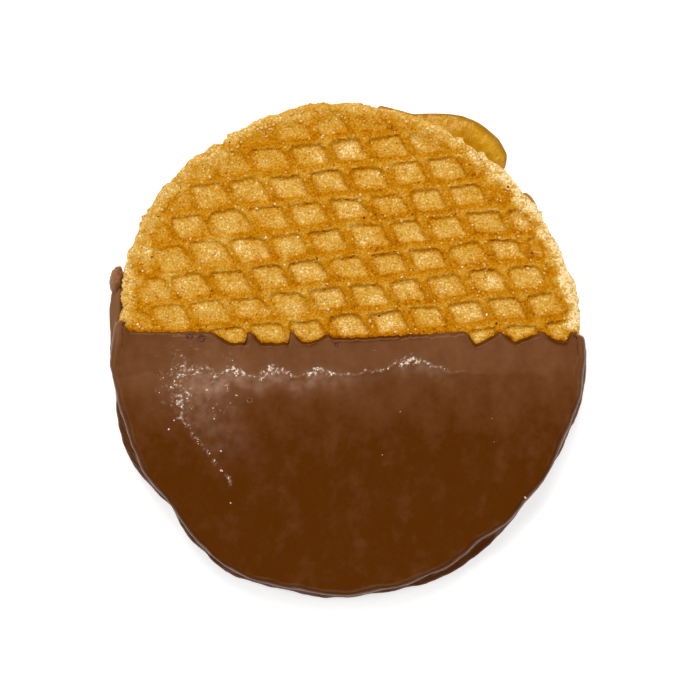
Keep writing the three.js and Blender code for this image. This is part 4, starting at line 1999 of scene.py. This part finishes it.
@dataclass(frozen=True)
class Studio:
    """Plain white table, soft light from above and behind, and a camera straight above."""

    camera_height: float = 0.6
    focus_height: float = 0.006
    frame_width: float = 0.133
    look_at: tuple[float, float] = (0.00024, 0.00022)
    floor_size: float = 3.0
    table_colour: tuple = (0.96, 0.96, 0.96, 1.0)
    table_roughness: float = 0.9
    table_glow: float = 0.38
    white: tuple = (1.0, 1.0, 1.0, 1.0)
    sky: float = 0.08
    lamps: tuple[Lamp, ...] = (
        Lamp("key_light", (-0.1, 0.8, 0.9), 0.7, 11.0),
        Lamp("left_light", (-0.9, 0.1, 0.85), 0.8, 5.5),
        Lamp("right_light", (0.9, 0.15, 0.85), 0.8, 5.0),
        Lamp("front_light", (0.1, -0.95, 0.9), 0.8, 5.0),
    )

    def floor(self) -> None:
        """Lays the table under the part."""
        half = 0.5 * self.floor_size
        corners = [(-half, -half, 0), (half, -half, 0), (half, half, 0), (-half, half, 0)]
        mesh = bpy.data.meshes.new("table")
        mesh.from_pydata(corners, [], [(0, 1, 2, 3)])
        material, shader = new_material("white_table")
        settings = {"Base Color": self.table_colour, "Roughness": self.table_roughness,
                    "Emission Color": self.white, "Emission Strength": self.table_glow}
        for name, value in settings.items():
            shader.inputs[name].default_value = value
        mesh.materials.append(material)
        table = bpy.data.objects.new("table", mesh)
        bpy.context.scene.collection.objects.link(table)

    def build(self) -> None:
        """Sets the table, the lights, the world and the camera."""
        self.floor()
        for lamp in self.lamps:
            lamp.hang()
        scene = bpy.context.scene
        world = bpy.data.worlds.new("studio")
        world.use_nodes = True
        background = world.node_tree.nodes["Background"]
        background.inputs["Color"].default_value = self.white
        background.inputs["Strength"].default_value = self.sky
        scene.world = world
        scene.view_settings.view_transform = "Standard"
        data = bpy.data.cameras.new("camera")
        data.lens = data.sensor_width * (self.camera_height - self.focus_height) / self.frame_width
        camera = bpy.data.objects.new("camera", data)
        camera.location = (*self.look_at, self.camera_height)
        scene.collection.objects.link(camera)
        scene.camera = camera


# ---- The whole ----


def main() -> None:
    """Loads the frame, builds each piece round it and sets the stage."""
    logging.basicConfig(level=logging.INFO, format="%(name)s: %(message)s")
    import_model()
    levels = Levels.from_frame()
    grain = grain_group()
    baked = WaferFinish().make(grain)
    top = Wafer("wafer_top_round", "wafer_top", UPPER_EDGE, Side.UP,
                levels.upper_base, levels.upper_top, seed=5)
    bottom = Wafer("wafer_bottom_round", "wafer_bottom", LOWER_EDGE, Side.DOWN,
                   levels.lower_base, levels.lower_top, seed=6, columns=250, bare_rows=140)
    for wafer in (top, bottom):
        wafer.build(levels, baked)
    Filling().build(levels, SyrupFinish().make(grain))
    chocolate = ChocolateFinish().make(grain)
    coat = Coat(top, DipLine(), levels)
    coat.build(chocolate)
    small = {
        "crumb": GrainFinish("wafer_crumb", linear(236, 194, 118), linear(214, 158, 70), 0.6, 0.2),
        "sugar": GrainFinish("sugar", linear(252, 236, 200), linear(236, 206, 150), 0.2),
        # Pale flecks, partly painted glints along the crest.
        "fleck": GrainFinish("pale_flecks_and_glints", linear(250, 234, 218), linear(196, 160, 132), 0.3),
        # Dark finish: the scorched specks' own colour, and painted crater shade on the burst rings.
        "dark_speck_and_shade": GrainFinish("dark_specks_and_crater_shade", linear(104, 34, 20), linear(60, 14, 8), 0.25),
    }
    finishes = {name: finish.make(grain) for name, finish in small.items()}
    SmallMatter(top, coat, levels).build({**finishes, "chocolate": chocolate})
    Studio().build()


if __name__ == "__main__":
    main()
